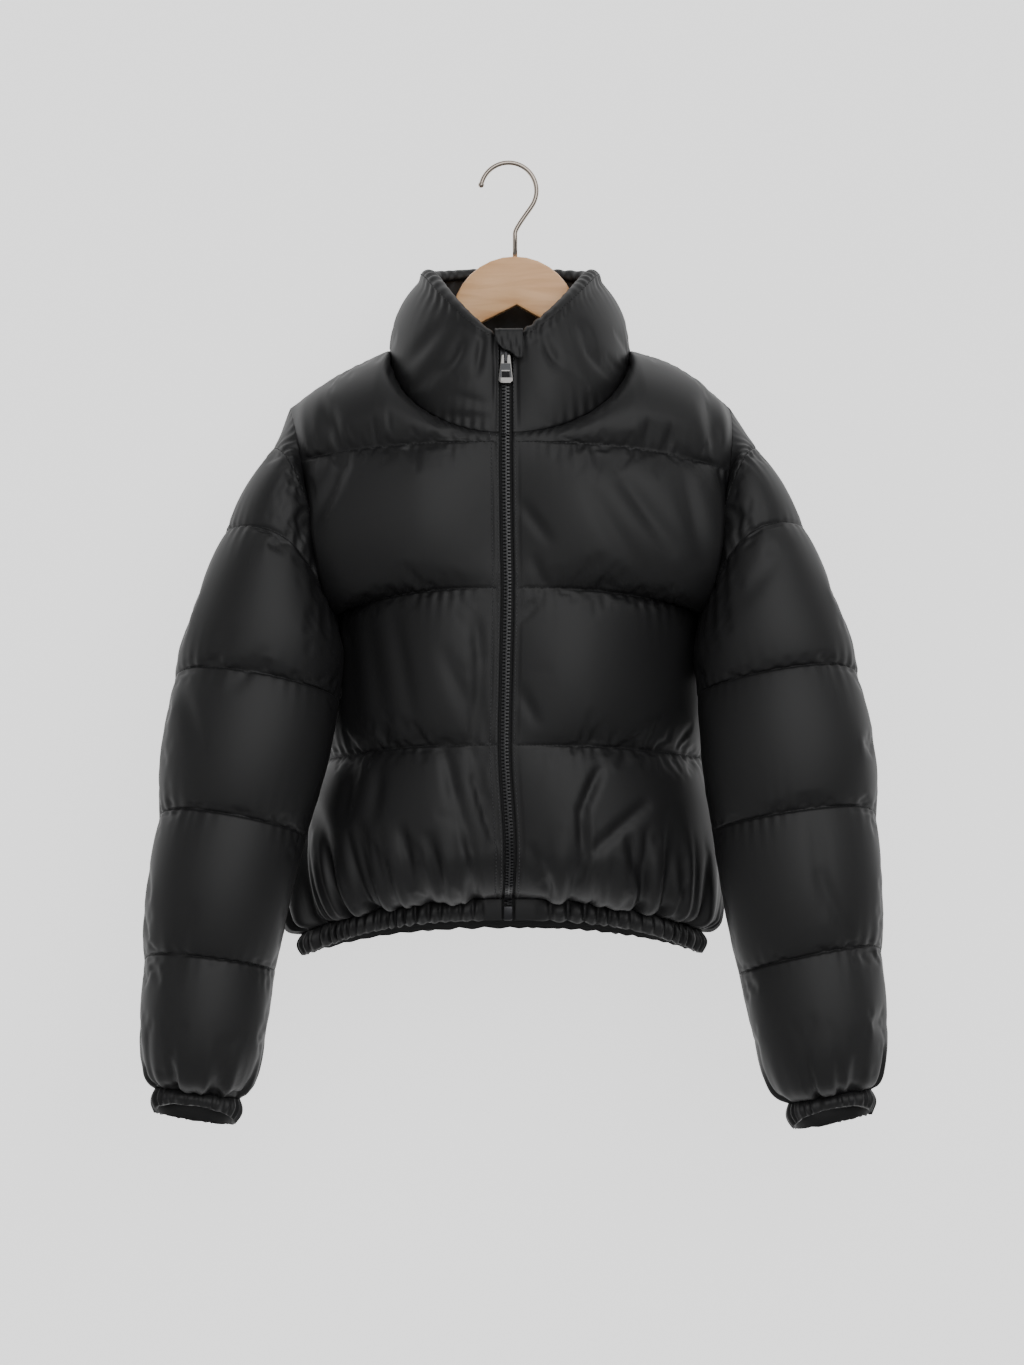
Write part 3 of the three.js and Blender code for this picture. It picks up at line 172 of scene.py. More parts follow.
BODY_PUFF = 15.0
BODY_PUFFS = np.array([1, 1, 1, 0.7])
SLEEVE_PUFFS = np.array([3, 7, 10, 10, 10, 9.5])
COLLAR_PUFF = 9.0
SIDE_REACH = 26.0
ZIP_REACH = 62.0
ARMPIT_REACH = 40.0
SLEEVE_REACH = 34.0
SLEEVE_WIDTH = 160.0
COLLAR_REACH = 40.0
COLLAR_GATHERS = 52
COLLAR_GATHER_HEIGHT = 1.7
COLLAR_INNER_FOLDS = 3.2
ROLL_SHARE = 0.5
ROLL_RADIUS = 4.0
ROLL_SPAN = 0.2
FULL_BAFFLE = 100.0
HEM_FOLDS = 24
HEM_FOLD_HEIGHT = 4.6
HEM_WAVES = 76
HEM_WAVE_HEIGHT = 2.0
CUFF_FOLDS = 9
CUFF_FOLD_HEIGHT = 4.6
CUFF_WAVES = 32
CUFF_WAVE_HEIGHT = 1.6
HEM_SHARPNESS = 1.6

# The camera's eye, in millimetres

EYE_DISTANCE = 3000.0
EYE_X = 1.7
EYE_Z = -445.0


@dataclass(frozen=True)
class Crease:
    """A crease pressed into a front piece, between two places of the front view.

    The places are millimetres on the upright plane through the origin, as the camera sees it. A negative depth
    raises a ridge instead.
    """

    node: str
    from_x: float
    from_z: float
    to_x: float
    to_z: float
    depth: float
    width: float

    def press(self, points: Array, normals: Array) -> Array:
        """Return the points with the crease pressed in along their normals."""
        toward = EYE_DISTANCE / (EYE_DISTANCE + points[..., 1])
        seen = np.stack([EYE_X + (points[..., 0] - EYE_X) * toward, EYE_Z + (points[..., 2] - EYE_Z) * toward], axis=-1)
        start = np.array([self.from_x, self.from_z])
        line = np.array([self.to_x, self.to_z]) - start
        along = np.clip((seen - start) @ line / (line @ line), 0, 1)
        away = length(seen - start - along[..., None] * line) / self.width
        taper = np.sin(np.pi * (0.15 + 0.7 * along))
        return points - normals * (self.depth * taper * np.exp(-(away**2)))[..., None]


CREASES = (
    Crease("front_panel_left", -155, -211, -149, -243, 4.5, 6),
    Crease("front_panel_left", -149, -243, -144, -257, 4.5, 6),
    Crease("front_panel_left", -144, -257, -166, -300, 5.5, 7),
    Crease("front_panel_left", -162, -204, -158, -228, 2, 5),
    Crease("front_panel_left", -29, -391, -26, -425, 3, 6),
    Crease("front_panel_left", -26, -425, -28, -530, 3.5, 6),
    Crease("front_panel_left", -28, -530, -12, -580, 5, 5),
    Crease("front_panel_left", -56, -421, -30, -482, 2.2, 8),
    Crease("front_panel_left", -140, -385, -134, -480, 1.6, 7),
    Crease("front_panel_left", -125, -380, -108, -488, 1.4, 8),
    Crease("front_panel_left", -100, -390, -84, -478, 1.6, 7),
    Crease("front_panel_left", -133, -508, -143, -560, 2.4, 6),
    Crease("front_panel_left", -112, -520, -118, -560, 2, 6),
    Crease("front_panel_left", -94, -572, -84, -618, 5, 5),
    Crease("front_panel_left", -70, -580, -60, -622, 5, 5),
    Crease("front_panel_left", -48, -545, -36, -612, -2.4, 4),
    Crease("front_panel_left", -57, -500, -38, -588, 4, 6),
    Crease("front_panel_left", -128, -570, -116, -622, 2.6, 6),
    Crease("front_panel_left", -172, -545, -150, -610, 2.6, 7),
    Crease("front_panel_right", 171, -200, 187, -268, 5.5, 8),
    Crease("front_panel_right", 147, -256, 168, -340, 3.2, 9),
    Crease("front_panel_right", 86, -254, 155, -340, 2.6, 10),
    Crease("front_panel_right", 99, -275, 138, -331, 2, 7),
    Crease("front_panel_right", 69, -280, 112, -349, 2.4, 9),
    Crease("front_panel_right", 10, -292, 33, -322, 2, 5),
    Crease("front_panel_right", 21, -340, 30, -366, 2, 5),
    Crease("front_panel_right", 9, -452, 22, -478, 2, 5),
    Crease("front_panel_right", 5, -392, 24, -376, 1.8, 5),
    Crease("front_panel_right", 77, -520, 62, -555, 5, 4.5),
    Crease("front_panel_right", 62, -555, 64, -598, 5.5, 4.5),
    Crease("front_panel_right", 64, -598, 56, -624, 5, 4.5),
    Crease("front_panel_right", 116, -551, 69, -593, 3.6, 5),
    Crease("front_panel_right", 104, -580, 113, -616, 4.5, 5),
    Crease("front_panel_right", 19, -590, 34, -628, 5, 4),
    Crease("front_panel_right", 140, -560, 150, -620, 2.6, 7),
    Crease("collar", -24, -151, -28, -178, 2.6, 4),
    Crease("collar", -42, -150, -54, -176, 2.4, 5),
    Crease("collar", -62, -140, -88, -170, 2, 6),
    Crease("collar", 30, -150, 40, -172, 2.8, 5),
    Crease("collar", 62, -140, 70, -166, 2, 6),
    Crease("collar", -20, -205, -48, -199, 1.8, 5),
    Crease("collar", -18, -218, -56, -216, 1.8, 5),
    Crease("sleeve_front_right", 262, -560, 270, -640, 2, 8),
    Crease("sleeve_front_right", 268, -612, 292, -668, 2.2, 6),
    Crease("sleeve_front_right", 200, -372, 236, -330, 1.6, 8),
    Crease("sleeve_front_left", -258, -440, -244, -400, 1.6, 7),
    Crease("sleeve_front_left", -282, -452, -268, -500, 1.8, 7),
    Crease("sleeve_front_left", -236, -448, -214, -420, 1.6, 6),
    Crease("sleeve_front_left", -290, -700, -276, -640, 1.8, 7),
)

# The four quarters from the left of the zip round the back to its right, and which way each is walked

QUARTERS = (
    (Face.FRONT, Side.LEFT, 1),
    (Face.BACK, Side.LEFT, -1),
    (Face.BACK, Side.RIGHT, 1),
    (Face.FRONT, Side.RIGHT, -1),
)


# Small maths


def lerp(a: Array, b: Array, t: Array) -> Array:
    """Return the value a share t of the way from a to b."""
    return a + (b - a) * t


def stack(x: Array, y: Array, z: Array) -> Array:
    """Return points from their three coordinates, each of which may be one number."""
    return np.stack(np.broadcast_arrays(x, y, z), axis=-1).astype(float)


def length(vectors: Array) -> Array:
    """Return the lengths of the vectors along the last axis."""
    return np.linalg.norm(vectors, axis=-1)


def unit(vectors: Array) -> Array:
    """Return the vectors with their lengths made 1."""
    return vectors / np.maximum(length(vectors), 1e-9)[..., None]


class Curve:
    """A smooth curve through one column of a table that does not overshoot its rows."""

    def __init__(self, places: Sequence[float], values: Sequence[float]) -> None:
        self.places = np.asarray(places, float)
        self.values = np.asarray(values, float)
        slopes = np.diff(self.values) / np.diff(self.places)
        before, after = slopes[:-1], slopes[1:]
        total = np.where(before + after == 0, 1, before + after)
        inner = np.where(before * after > 0, 2 * before * after / total, 0)
        self.tangents = np.concatenate([slopes[:1], inner, slopes[-1:]])

    def __call__(self, at: Array) -> Array:
        """Return the curve's values at the places."""
        at = np.asarray(at, float)
        i = np.clip(np.searchsorted(self.places, at, side="left") - 1, 0, len(self.places) - 2)
        width = self.places[i + 1] - self.places[i]
        t = (at - self.places[i]) / width
        value = (
            self.values[i] * (2 * t**3 - 3 * t**2 + 1)
            + self.tangents[i] * width * (t**3 - 2 * t**2 + t)
            + self.values[i + 1] * (3 * t**2 - 2 * t**3)
            + self.tangents[i + 1] * width * (t**3 - t**2)
        )
        return np.where(t < 0, self.values[0] + self.tangents[0] * t * width, value)


def curves(rows: Sequence) -> dict[str, Curve]:
    """Return a curve for each column of a table, over its first column."""
    names = [f.name for f in fields(rows[0])]
    places = [getattr(row, names[0]) for row in rows]
    return {name: Curve(places, [getattr(row, name) for row in rows]) for name in names[1:]}


class JacketForm:
    """The base surfaces of the jacket's pieces, in millimetres, as functions of each piece's own two coordinates."""

    def __init__(self) -> None:
        self.level = curves(BODY_LEVELS)
        self.ring = curves(SLEEVE_RINGS)

    def edge_x(self, side: Side, v: Array) -> Array:
        """Return where the front's edge beside the zip lies."""
        middle = self.level["zip_x"](np.minimum(v, 3))
        return middle - ZIP_LEFT_EDGE if side == Side.LEFT else middle + ZIP_RIGHT_EDGE

    def lower_body(self, face: Face, side: Side, u: Array, v: Array) -> Array:
        """Return points of the body at or below the yoke line.

        Args:
            face: The front or the back panel.
            side: The left or the right half.
            u: From the centre (0) to the side seam or the armhole (1).
            v: The level, from the hem seam (0) to the yoke line (3).
        """
        u, v = np.broadcast_arrays(np.asarray(u, float), np.asarray(v, float))
        level = self.level
        name = "left" if side == Side.LEFT else "right"
        span = np.radians(level["span"](v))
        seam = np.radians(level["seam_" + name](v))
        below = v <= 2
        angle = u * np.where(below, seam if face == Face.FRONT else np.pi - seam, span)
        over = angle > np.pi / 2
        angle = np.where(over, np.pi - angle, angle)
        front = over != (face == Face.FRONT)
        across = np.sin(angle) / np.sin(span)
        bow = np.maximum(0, (np.cos(angle) - np.cos(span)) / (1 - np.cos(span)))
        edge_y = np.where(front | below, level["side_front_y"](v), level["side_back_y"](v))
        centre_y = np.where(front, level["front_y"](v), level["back_y"](v))
        centre_z = np.where(front, level["front_z"](v), level["back_z"](v))
        return stack(
            lerp(np.where(front, self.edge_x(side, v), 0), level[name + "_x"](v), across),
            lerp(edge_y, centre_y, bow ** np.where(below, 1.3, 1.1)),
            lerp(centre_z, level[name + "_z"](v), across**2.6),
        )

    def upper_edge(self, face: Face, side: Side, u: Array) -> Array:
        """Return the upper edge of a body panel: half the neckline, then the shoulder seam."""
        u = np.asarray(u, float)
        neck = np.array(NECK_SIDE) * (side, 1, 1)
        tip = np.array(SHOULDER_TIP) * (side, 1, 1)
        from_y, from_z = NECK_FRONT if face == Face.FRONT else NECK_BACK
        from_x = self.edge_x(side, 3) if face == Face.FRONT else 0.0
        angle = np.minimum(u / NECK_SHARE, 1) * np.pi / 2
        line = stack(
            lerp(from_x, neck[0], np.sin(angle)),
            lerp(neck[1], from_y, np.cos(angle)),
            lerp(neck[2], from_z, np.cos(angle)),
        )
        along = np.clip((u - NECK_SHARE) / (1 - NECK_SHARE), 0, 1)
        shoulder = lerp(neck, tip, along[..., None])
        shoulder[..., 2] += SHOULDER_RISE[side] * np.sin(np.pi * along)
        return np.where((u <= NECK_SHARE)[..., None], line, shoulder)

    def body(self, face: Face, side: Side, u: Array, v: Array) -> Array:
        """Return points of the body. Above the yoke line it rolls back to the neckline and the shoulder seam."""
        u, v = np.broadcast_arrays(np.asarray(u, float), np.asarray(v, float))
        low = self.lower_body(face, side, u, 3)
        rise = unit(low - self.lower_body(face, side, u, 3 - STEP))
        high = self.upper_edge(face, side, u)
        middle = low + rise * (YOKE_ROUNDNESS * length(low - high))[..., None]
        t = np.clip(v - 3, 0, 1)[..., None]
        upper = low * (1 - t) ** 2 + middle * 2 * t * (1 - t) + high * t**2
        return np.where((v <= 3)[..., None], self.lower_body(face, side, u, np.minimum(v, 3)), upper)

    def sleeve_ring(self, face: Face, side: Side, u: Array, w: Array) -> Array:
        """Return points of a sleeve at or below its first stitch line."""
        u, w = np.broadcast_arrays(np.asarray(u, float), np.asarray(w, float))
        ring = self.ring
        name = "left" if side == Side.LEFT else "right"
        share = (1 - np.cos(np.pi * u)) / 2
        reach = ring["front"](w) if face == Face.FRONT else ring["back"](w)
        lift = ring["arch"](w) * np.sin(np.pi * u**0.72)
        return stack(
            lerp(ring[name + "_out_x"](w), ring[name + "_in_x"](w), share),
            ring["mid_y"](w) + face * reach * np.abs(np.sin(np.pi * u)) ** 1.15,
            lerp(ring[name + "_out_z"](w), ring[name + "_in_z"](w), share ** ring["late"](w)) + lift,
        )

    def sleeve(self, face: Face, side: Side, u: Array, w: Array) -> Array:
        """Return points of a sleeve half, from its outer seam (0) to the under-arm seam (1), armhole (0) to cuff (6)."""
        u, w = np.broadcast_arrays(np.asarray(u, float), np.asarray(w, float))
        last = len(ARMHOLE_LEVELS) - 1
        level = np.interp(1 - u, np.arange(last + 1) / last, ARMHOLE_LEVELS)
        start = self.body(face, side, np.ones_like(u), level)
        end = self.sleeve_ring(face, side, u, 1)
        slope = (self.sleeve_ring(face, side, u, 1 + STEP) - end) / STEP
        chord = end - start
        limit = np.minimum(1, 1.2 * length(chord) / np.maximum(length(slope), 1e-9))
        slope = slope * limit[..., None]
        t = np.clip(w, 0, 1)[..., None]
        cap = start * (2 * t**3 - 3 * t**2 + 1) + chord * (t**3 - 2 * t**2 + t)
        cap = cap + end * (3 * t**2 - 2 * t**3) + slope * (t**3 - t**2)
        return np.where((w < 1)[..., None], cap, self.sleeve_ring(face, side, u, np.maximum(w, 1)))

    def collar(self, face: Face, side: Side, u: Array, h: Array) -> Array:
        """Return points of the collar, from the centre (0) to the side (1), neckline (0) to top edge (1)."""
        u, h = np.broadcast_arrays(np.asarray(u, float), np.asarray(h, float))
        low = self.body(face, side, u * NECK_SHARE, 4)
        angle = u * np.pi / 2
        from_y, from_z = COLLAR_TOP_FRONT if face == Face.FRONT else COLLAR_TOP_BACK
        from_x = self.edge_x(side, 3) if face == Face.FRONT else 0.0
        droop = np.sin(angle) ** (1.5 if face == Face.FRONT else 2)
        high = stack(
            lerp(from_x, side * COLLAR_TOP_SIDE[0], np.sin(angle)),
            lerp(COLLAR_TOP_SIDE[1], from_y, np.cos(angle)),
            lerp(from_z, COLLAR_TOP_SIDE[2], droop),
        )
        up = unit(high - low)
        flat = lerp(low, high - up * ROLL_RADIUS, np.minimum(h, 1)[..., None])
        ahead = unit(high * (0, 1, 0) + stack(high[..., 0], 0.0, 0.0))
        inward = -unit(ahead - np.sum(ahead * up, axis=-1, keepdims=True) * up)
        turn = np.clip((h - 1) / ROLL_SPAN, 0, 1)[..., None] * np.pi * 1.15
        return flat + ROLL_RADIUS * (inward * (1 - np.cos(turn)) + up * np.sin(turn))

    def band(self, face: Face, side: Side, u: Array, h: Array) -> Array:
        """Return points of the hem band, from the hem seam (0) to its free edge (1)."""
        u, h = np.broadcast_arrays(np.asarray(u, float), np.asarray(h, float))
        points = self.body(face, side, u, 0)
        points[..., 2] -= BAND_DROP * h
        points[..., 1] *= 1 - (1 - BAND_TUCK) * h
        return points

    def cuff(self, face: Face, side: Side, u: Array, h: Array) -> Array:
        """Return points of a cuff, from its seam (0) to its free edge (1)."""
        u, h = np.broadcast_arrays(np.asarray(u, float), np.asarray(h, float))
        points = self.sleeve(face, side, u, 6)
        drop = lerp(CUFF_DROP_MIDDLE, CUFF_DROP[face], np.sin(np.pi * u))
        return points + stack(side * CUFF_LEAN_X * h * u, CUFF_LEAN_Y * h, -drop * h)


FORM = JacketForm()


# Quilting and gathers, as heights above the base surfaces


def baffle(t: Array) -> Array:
    """Return how a baffle stands out between its lower stitch line (0) and its upper one (1)."""
    return np.sin(np.pi * np.clip(t, 0, 1) ** 0.84) ** 0.7


def beside_seam(distance: Array, reach: float) -> Array:
    """Return how a baffle rises beside a seam."""
    return np.sin(np.pi / 2 * np.clip(distance / reach, 0, 1))


def gather(turn: Array, waves: int, seed: float) -> Array:
    """Return an uneven wave of a gathered edge, from -1 to 1; turn runs round the edge from 0 to 1."""
    wander = 0.22 * np.sin(34 * turn + seed) + 0.16 * np.sin(81 * turn + 2 * seed)
    strength = 0.72 + 0.28 * np.sin(53 * turn + 3 * seed)
    return strength * np.sin(2 * np.pi * (waves * turn + wander))


def pinched(wave: Array) -> Array:
    """Return a wave with broad crests and narrow valleys."""
    return 1 - 2 * ((1 - wave) / 2) ** 2.4


def hem_turn(face: Face, side: Side, u: Array) -> Array:
    """Return how far round the hem a place lies, from the left of the zip (0) to its right (1)."""
    share = u / 4 if face == Face.FRONT else 0.5 - u / 4
    return share if side == Side.LEFT else 1 - share


def beside_zip(turn: Array) -> Array:
    """Return how gathers die out beside the zip."""
    return np.clip((np.minimum(turn, 1 - turn) - 0.017) / 0.014, 0, 1)


def hem_ripple(turn: Array) -> Array:
    """Return the ripple that the hem seam gives the body and the band."""
    return 0.5 * (1 + gather(turn, HEM_WAVES, 0.6)) * beside_zip(turn)


def band_lift(turn: Array, h: Array) -> Array:
    """Return the gathers of the hem band."""
    ridge = HEM_WAVE_HEIGHT * (1 + pinched(gather(turn, HEM_WAVES, 0.6))) * beside_zip(turn)
    return hem_ripple(turn) * (1 - h) + np.sin(np.pi * h) * (0.8 + ridge) + 0.5 * h * ridge


def cuff_ripple(side: Side, turn: Array) -> Array:
    """Return the ripple that a cuff's seam gives the sleeve and the cuff."""
    return 0.5 * (1 + gather(turn, CUFF_WAVES, side + 4))


def cuff_lift(side: Side, turn: Array, h: Array) -> Array:
    """Return the gathers of a cuff."""
    ridge = CUFF_WAVE_HEIGHT * (1 + pinched(gather(turn, CUFF_WAVES, side + 4)))
    return cuff_ripple(side, turn) * (1 - h) + np.sin(np.pi * h) * (0.6 + ridge) + 0.5 * h * ridge


def body_lift(face: Face, side: Side, u: Array, v: Array) -> Array:
    """Return how far the padded body stands out."""
    band = np.clip(np.floor(v), 0, 3)
    base = FORM.body(face, side, u, v)
    width = length(FORM.body(face, side, np.ones_like(u), v) - FORM.body(face, side, np.zeros_like(u), v)) + 30
    height = length(FORM.body(face, side, u, band) - FORM.body(face, side, u, band + 1))
    armpit = FORM.body(face, side, np.array(1.0), np.array(2.0))
    to_side = beside_seam((1 - u) * width, SIDE_REACH)
    to_zip = beside_seam(u * width, ZIP_REACH) if face == Face.FRONT else np.ones_like(u)
    to_armpit = beside_seam(length(base - armpit), ARMPIT_REACH)
    near = np.minimum(np.minimum(to_side, to_zip), to_armpit)
    full = np.clip(height / FULL_BAFFLE, 0, 1)
    puff = BODY_PUFF * BODY_PUFFS[band.astype(int)] * baffle(v - band) * near * full
    turn = hem_turn(face, side, u)
    fade = np.clip(v / 0.06, 0, 1) * np.clip(1 - v / 0.62, 0, 1) ** 1.4
    wave = pinched(gather(turn, HEM_FOLDS, 1.7)) - 0.4 + 0.35 * pinched(gather(turn, 2 * HEM_FOLDS + 9, 0.4))
    folds = HEM_SHARPNESS * HEM_FOLD_HEIGHT * fade * wave * beside_zip(turn)
    return np.maximum(0, puff + folds) + hem_ripple(turn) * np.clip(1 - v / 0.05, 0, 1)


def sleeve_lift(face: Face, side: Side, u: Array, w: Array) -> Array:
    """Return how far a padded sleeve stands out."""
    band = np.clip(np.floor(w), 0, 5)
    base = FORM.sleeve(face, side, u, w)
    height = length(FORM.sleeve(face, side, u, band) - FORM.sleeve(face, side, u, band + 1))
    armpit = FORM.body(face, side, np.array(1.0), np.array(2.0))
    to_outer = 0.35 + 0.65 * beside_seam(u * SLEEVE_WIDTH, SLEEVE_REACH)
    to_under = beside_seam((1 - u) * SLEEVE_WIDTH, SLEEVE_REACH)
    to_armpit = beside_seam(length(base - armpit), ARMPIT_REACH)
    near = np.minimum(np.minimum(to_outer, to_under), to_armpit)
    full = np.clip(height / FULL_BAFFLE, 0, 1)
    puff = SLEEVE_PUFFS[band.astype(int)] * baffle(1 - (w - band)) * near * full
    turn = u / 2 if face == Face.FRONT else 1 - u / 2
    above = 6 - w
    fade = np.clip(above / 0.06, 0, 1) * np.clip(1 - above / 0.5, 0, 1)
    folds = CUFF_FOLD_HEIGHT * fade * (pinched(gather(turn, CUFF_FOLDS, side + 2.3)) - 0.4)
    return np.maximum(0, puff + folds) + cuff_ripple(side, turn) * np.clip(1 - above / 0.05, 0, 1)


def collar_lift(face: Face, side: Side, u: Array, h: Array) -> Array:
    """Return how far the padded collar stands out, with the gathers along its rolled top edge."""
    to_zip = beside_seam(u * 150, COLLAR_REACH) if face == Face.FRONT else np.ones_like(u)
    rise = np.clip(h, 0, 1)
    puff = COLLAR_PUFF * np.maximum(np.sin(np.pi * rise) ** 0.8, ROLL_SHARE * np.clip(3 * rise - 2, 0, 1))
    puff = puff * np.clip(1 - (h - 1) / ROLL_SPAN, 0, 1) ** 0.5
    turn = hem_turn(face, side, u)
    uneven = 0.55 + 0.45 * np.sin(61 * turn + 1.1) * np.sin(23 * turn + 0.4)
    wave = pinched(gather(turn + 0.004 * np.sin(97 * turn), COLLAR_GATHERS, 2.9)) * uneven
    near_top = np.exp(-(((h - 0.98) / (0.09 + 0.09 * uneven)) ** 2))
    near_zip = 0.14 + 0.86 * np.exp(-((u * 150 / 34) ** 2)) * (face == Face.FRONT)
    return np.maximum(0, puff * to_zip + COLLAR_GATHER_HEIGHT * (wave - 0.5) * near_top * near_zip)


# Meshes


def grid_faces(rows: int, columns: int, first: int = 0, closed: bool = False) -> list[tuple[int, ...]]:
    """Return the faces of a grid of points, row by row; a closed one joins its last column to its first."""
    span = columns if closed else columns - 1
    return [
        (
            first + r * columns + c,
            first + r * columns + (c + 1) % columns,
            first + (r + 1) * columns + (c + 1) % columns,
            first + (r + 1) * columns + c,
        )
        for r in range(rows - 1)
        for c in range(span)
    ]


def new_object(name: str, points: Array, faces: Sequence, smooth: bool = True) -> bpy.types.Object:
    """Return a mesh object made of points in millimetres, with its faces turned outwards.

    Args:
        name: The object's name.
        points: Its points, in millimetres.
        faces: The faces, as tuples of the points' numbers.
        smooth: Whether it is shaded smooth.
    """
    mesh = bpy.data.meshes.new(name)
    mesh.from_pydata((np.asarray(points).reshape(-1, 3) * MM).tolist(), [], [tuple(f) for f in faces])
    made = bmesh.new()
    made.from_mesh(mesh)
    bmesh.ops.recalc_face_normals(made, faces=made.faces)
    made.to_mesh(mesh)
    made.free()
    mesh.polygons.foreach_set("use_smooth", [smooth] * len(mesh.polygons))
    thing = bpy.data.objects.new(name, mesh)
    bpy.context.scene.collection.objects.link(thing)
    return thing


def finish_piece(thing: bpy.types.Object, finish: bpy.types.Material, body: str, node: str = "") -> None:
    """Give a new piece its finish, and tie it to the body that it moves with.

    Args:
        thing: The piece.
        finish: Its material.
        body: The body that it rides.
        node: The CAD node that it stands for, if there is one.
    """
    thing.data.materials.append(finish)
    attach(thing, body)
    if node:
        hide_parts(node)
    log.info("%s: %d faces", thing.name, len(thing.data.polygons))


def outward_sign(points: Array, inside: Sequence[float]) -> int:
    """Return the sign that turns a grid's normals away from a point inside the garment."""
    row, column = points.shape[0] // 2, points.shape[1] * 2 // 5
    normal = grid_normals(points, 1)[row, column]
    return 1 if normal @ (points[row, column] - np.array(inside, float)) > 0 else -1


def grid_normals(points: Array, outward: int, closed: bool = False) -> Array:
    """Return the unit normals of a grid of points, on the side that outward says."""
    if closed:
        padded = np.concatenate([points[:, -2:], points, points[:, :2]], axis=1)
        along = np.gradient(padded, axis=1)[:, 2:-2]
    else:
        along = np.gradient(points, axis=1)
    return unit(np.cross(along, np.gradient(points, axis=0))) * outward


def refined(points: Array) -> Array:
    """Return a grid with a smooth new point between each two, along both of its directions."""
    for axis in (0, 1):
        lines = np.moveaxis(points, axis, 0)
        ends = np.concatenate([2 * lines[:1] - lines[1:2], lines, 2 * lines[-1:] - lines[-2:-1]])
        middles = (9 * (ends[1:-2] + ends[2:-1]) - ends[:-3] - ends[3:]) / 16
        joined = np.empty((2 * len(lines) - 1, *lines.shape[1:]))
        joined[0::2] = lines
        joined[1::2] = middles
        points = np.moveaxis(joined, 0, axis)
    return points


def pad_faces(rows: int, columns: int, coarse: int) -> list[tuple[int, ...]]:
    """Return the faces of a closed pad: a fine outer grid, a coarse inner one and the rim between them.

    Args:
        rows: Rows of the outer grid.
        columns: Columns of the outer grid.
        coarse: How many outer steps one inner step spans.
    """
    inner_rows, inner_columns = (rows - 1) // coarse + 1, (columns - 1) // coarse + 1
    first = rows * columns
    faces = grid_faces(rows, columns) + grid_faces(inner_rows, inner_columns, first)
    for c in range(inner_columns - 1):
        for row, inner_row in ((0, 0), (rows - 1, inner_rows - 1)):
            outer = [row * columns + c * coarse + k for k in range(coarse + 1)]
            low = first + inner_row * inner_columns + c
            faces.append((*outer, low + 1, low))
    for r in range(inner_rows - 1):
        for column, inner_column in ((0, 0), (columns - 1, inner_columns - 1)):
            outer = [(r * coarse + k) * columns + column for k in range(coarse + 1)]
            low = first + r * inner_columns + inner_column
            faces.append((*outer, low + inner_columns, low))
    return faces


# Finishes


def linear(hex_colour: str) -> tuple[float, float, float, float]:
    """Return an sRGB hex colour as linear values with full opacity."""
    parts = [int(hex_colour[i : i + 2], 16) / 255 for i in (1, 3, 5)]
    return (*[c / 12.92 if c <= 0.04045 else ((c + 0.055) / 1.055) ** 2.4 for c in parts], 1.0)


def add_node(tree: bpy.types.NodeTree, kind: str, settings: dict, links: dict) -> bpy.types.Node:
    """Add a shader node.

    Args:
        tree: The material's node tree.
        kind: The node's type name.
        settings: Values for its inputs by name or number, or for its own properties.
        links: Sockets of other nodes, by the name or number of the input that they feed.

    Returns:
        The new node.
    """
    node = tree.nodes.new(kind)
    for key, value in settings.items():
        if isinstance(key, int) or key in node.inputs:
            node.inputs[key].default_value = value
        else:
            setattr(node, key, value)
    for key, socket in links.items():
        tree.links.new(socket, node.inputs[key])
    return node


@dataclass(frozen=True)
class Finish:
    """A plain finish for the Principled shader, with an optional fine grain."""

    name: str
    colour: str
    roughness: float
    metallic: float = 0.0
    specular: float = 0.5
    grain: float = 0.0
    grain_size: float = 1.0

    def material(self) -> bpy.types.Material:
        """Return the finish as a material."""
        made = bpy.data.materials.new(self.name)
        made.use_nodes = True
        tree = made.node_tree
        shader = tree.nodes["Principled BSDF"]
        shader.inputs["Base Color"].default_value = linear(self.colour)
        shader.inputs["Roughness"].default_value = self.roughness
        shader.inputs["Metallic"].default_value = self.metallic
        shader.inputs["Specular IOR Level"].default_value = self.specular
        if self.grain:
            place = add_node(tree, "ShaderNodeTexCoord", {}, {})
            noise = add_node(
                tree,
                "ShaderNodeTexNoise",
                {"Scale": 1 / (self.grain_size * MM), "Detail": 2.0},
                {"Vector": place.outputs["Object"]},
            )
            bump = add_node(
                tree,
                "ShaderNodeBump",
                {"Strength": self.grain, "Distance": 0.2 * self.grain_size * MM},
                {"Height": noise.outputs["Fac"]},
            )
            tree.links.new(bump.outputs["Normal"], shader.inputs["Normal"])
        return made


# Padded pieces


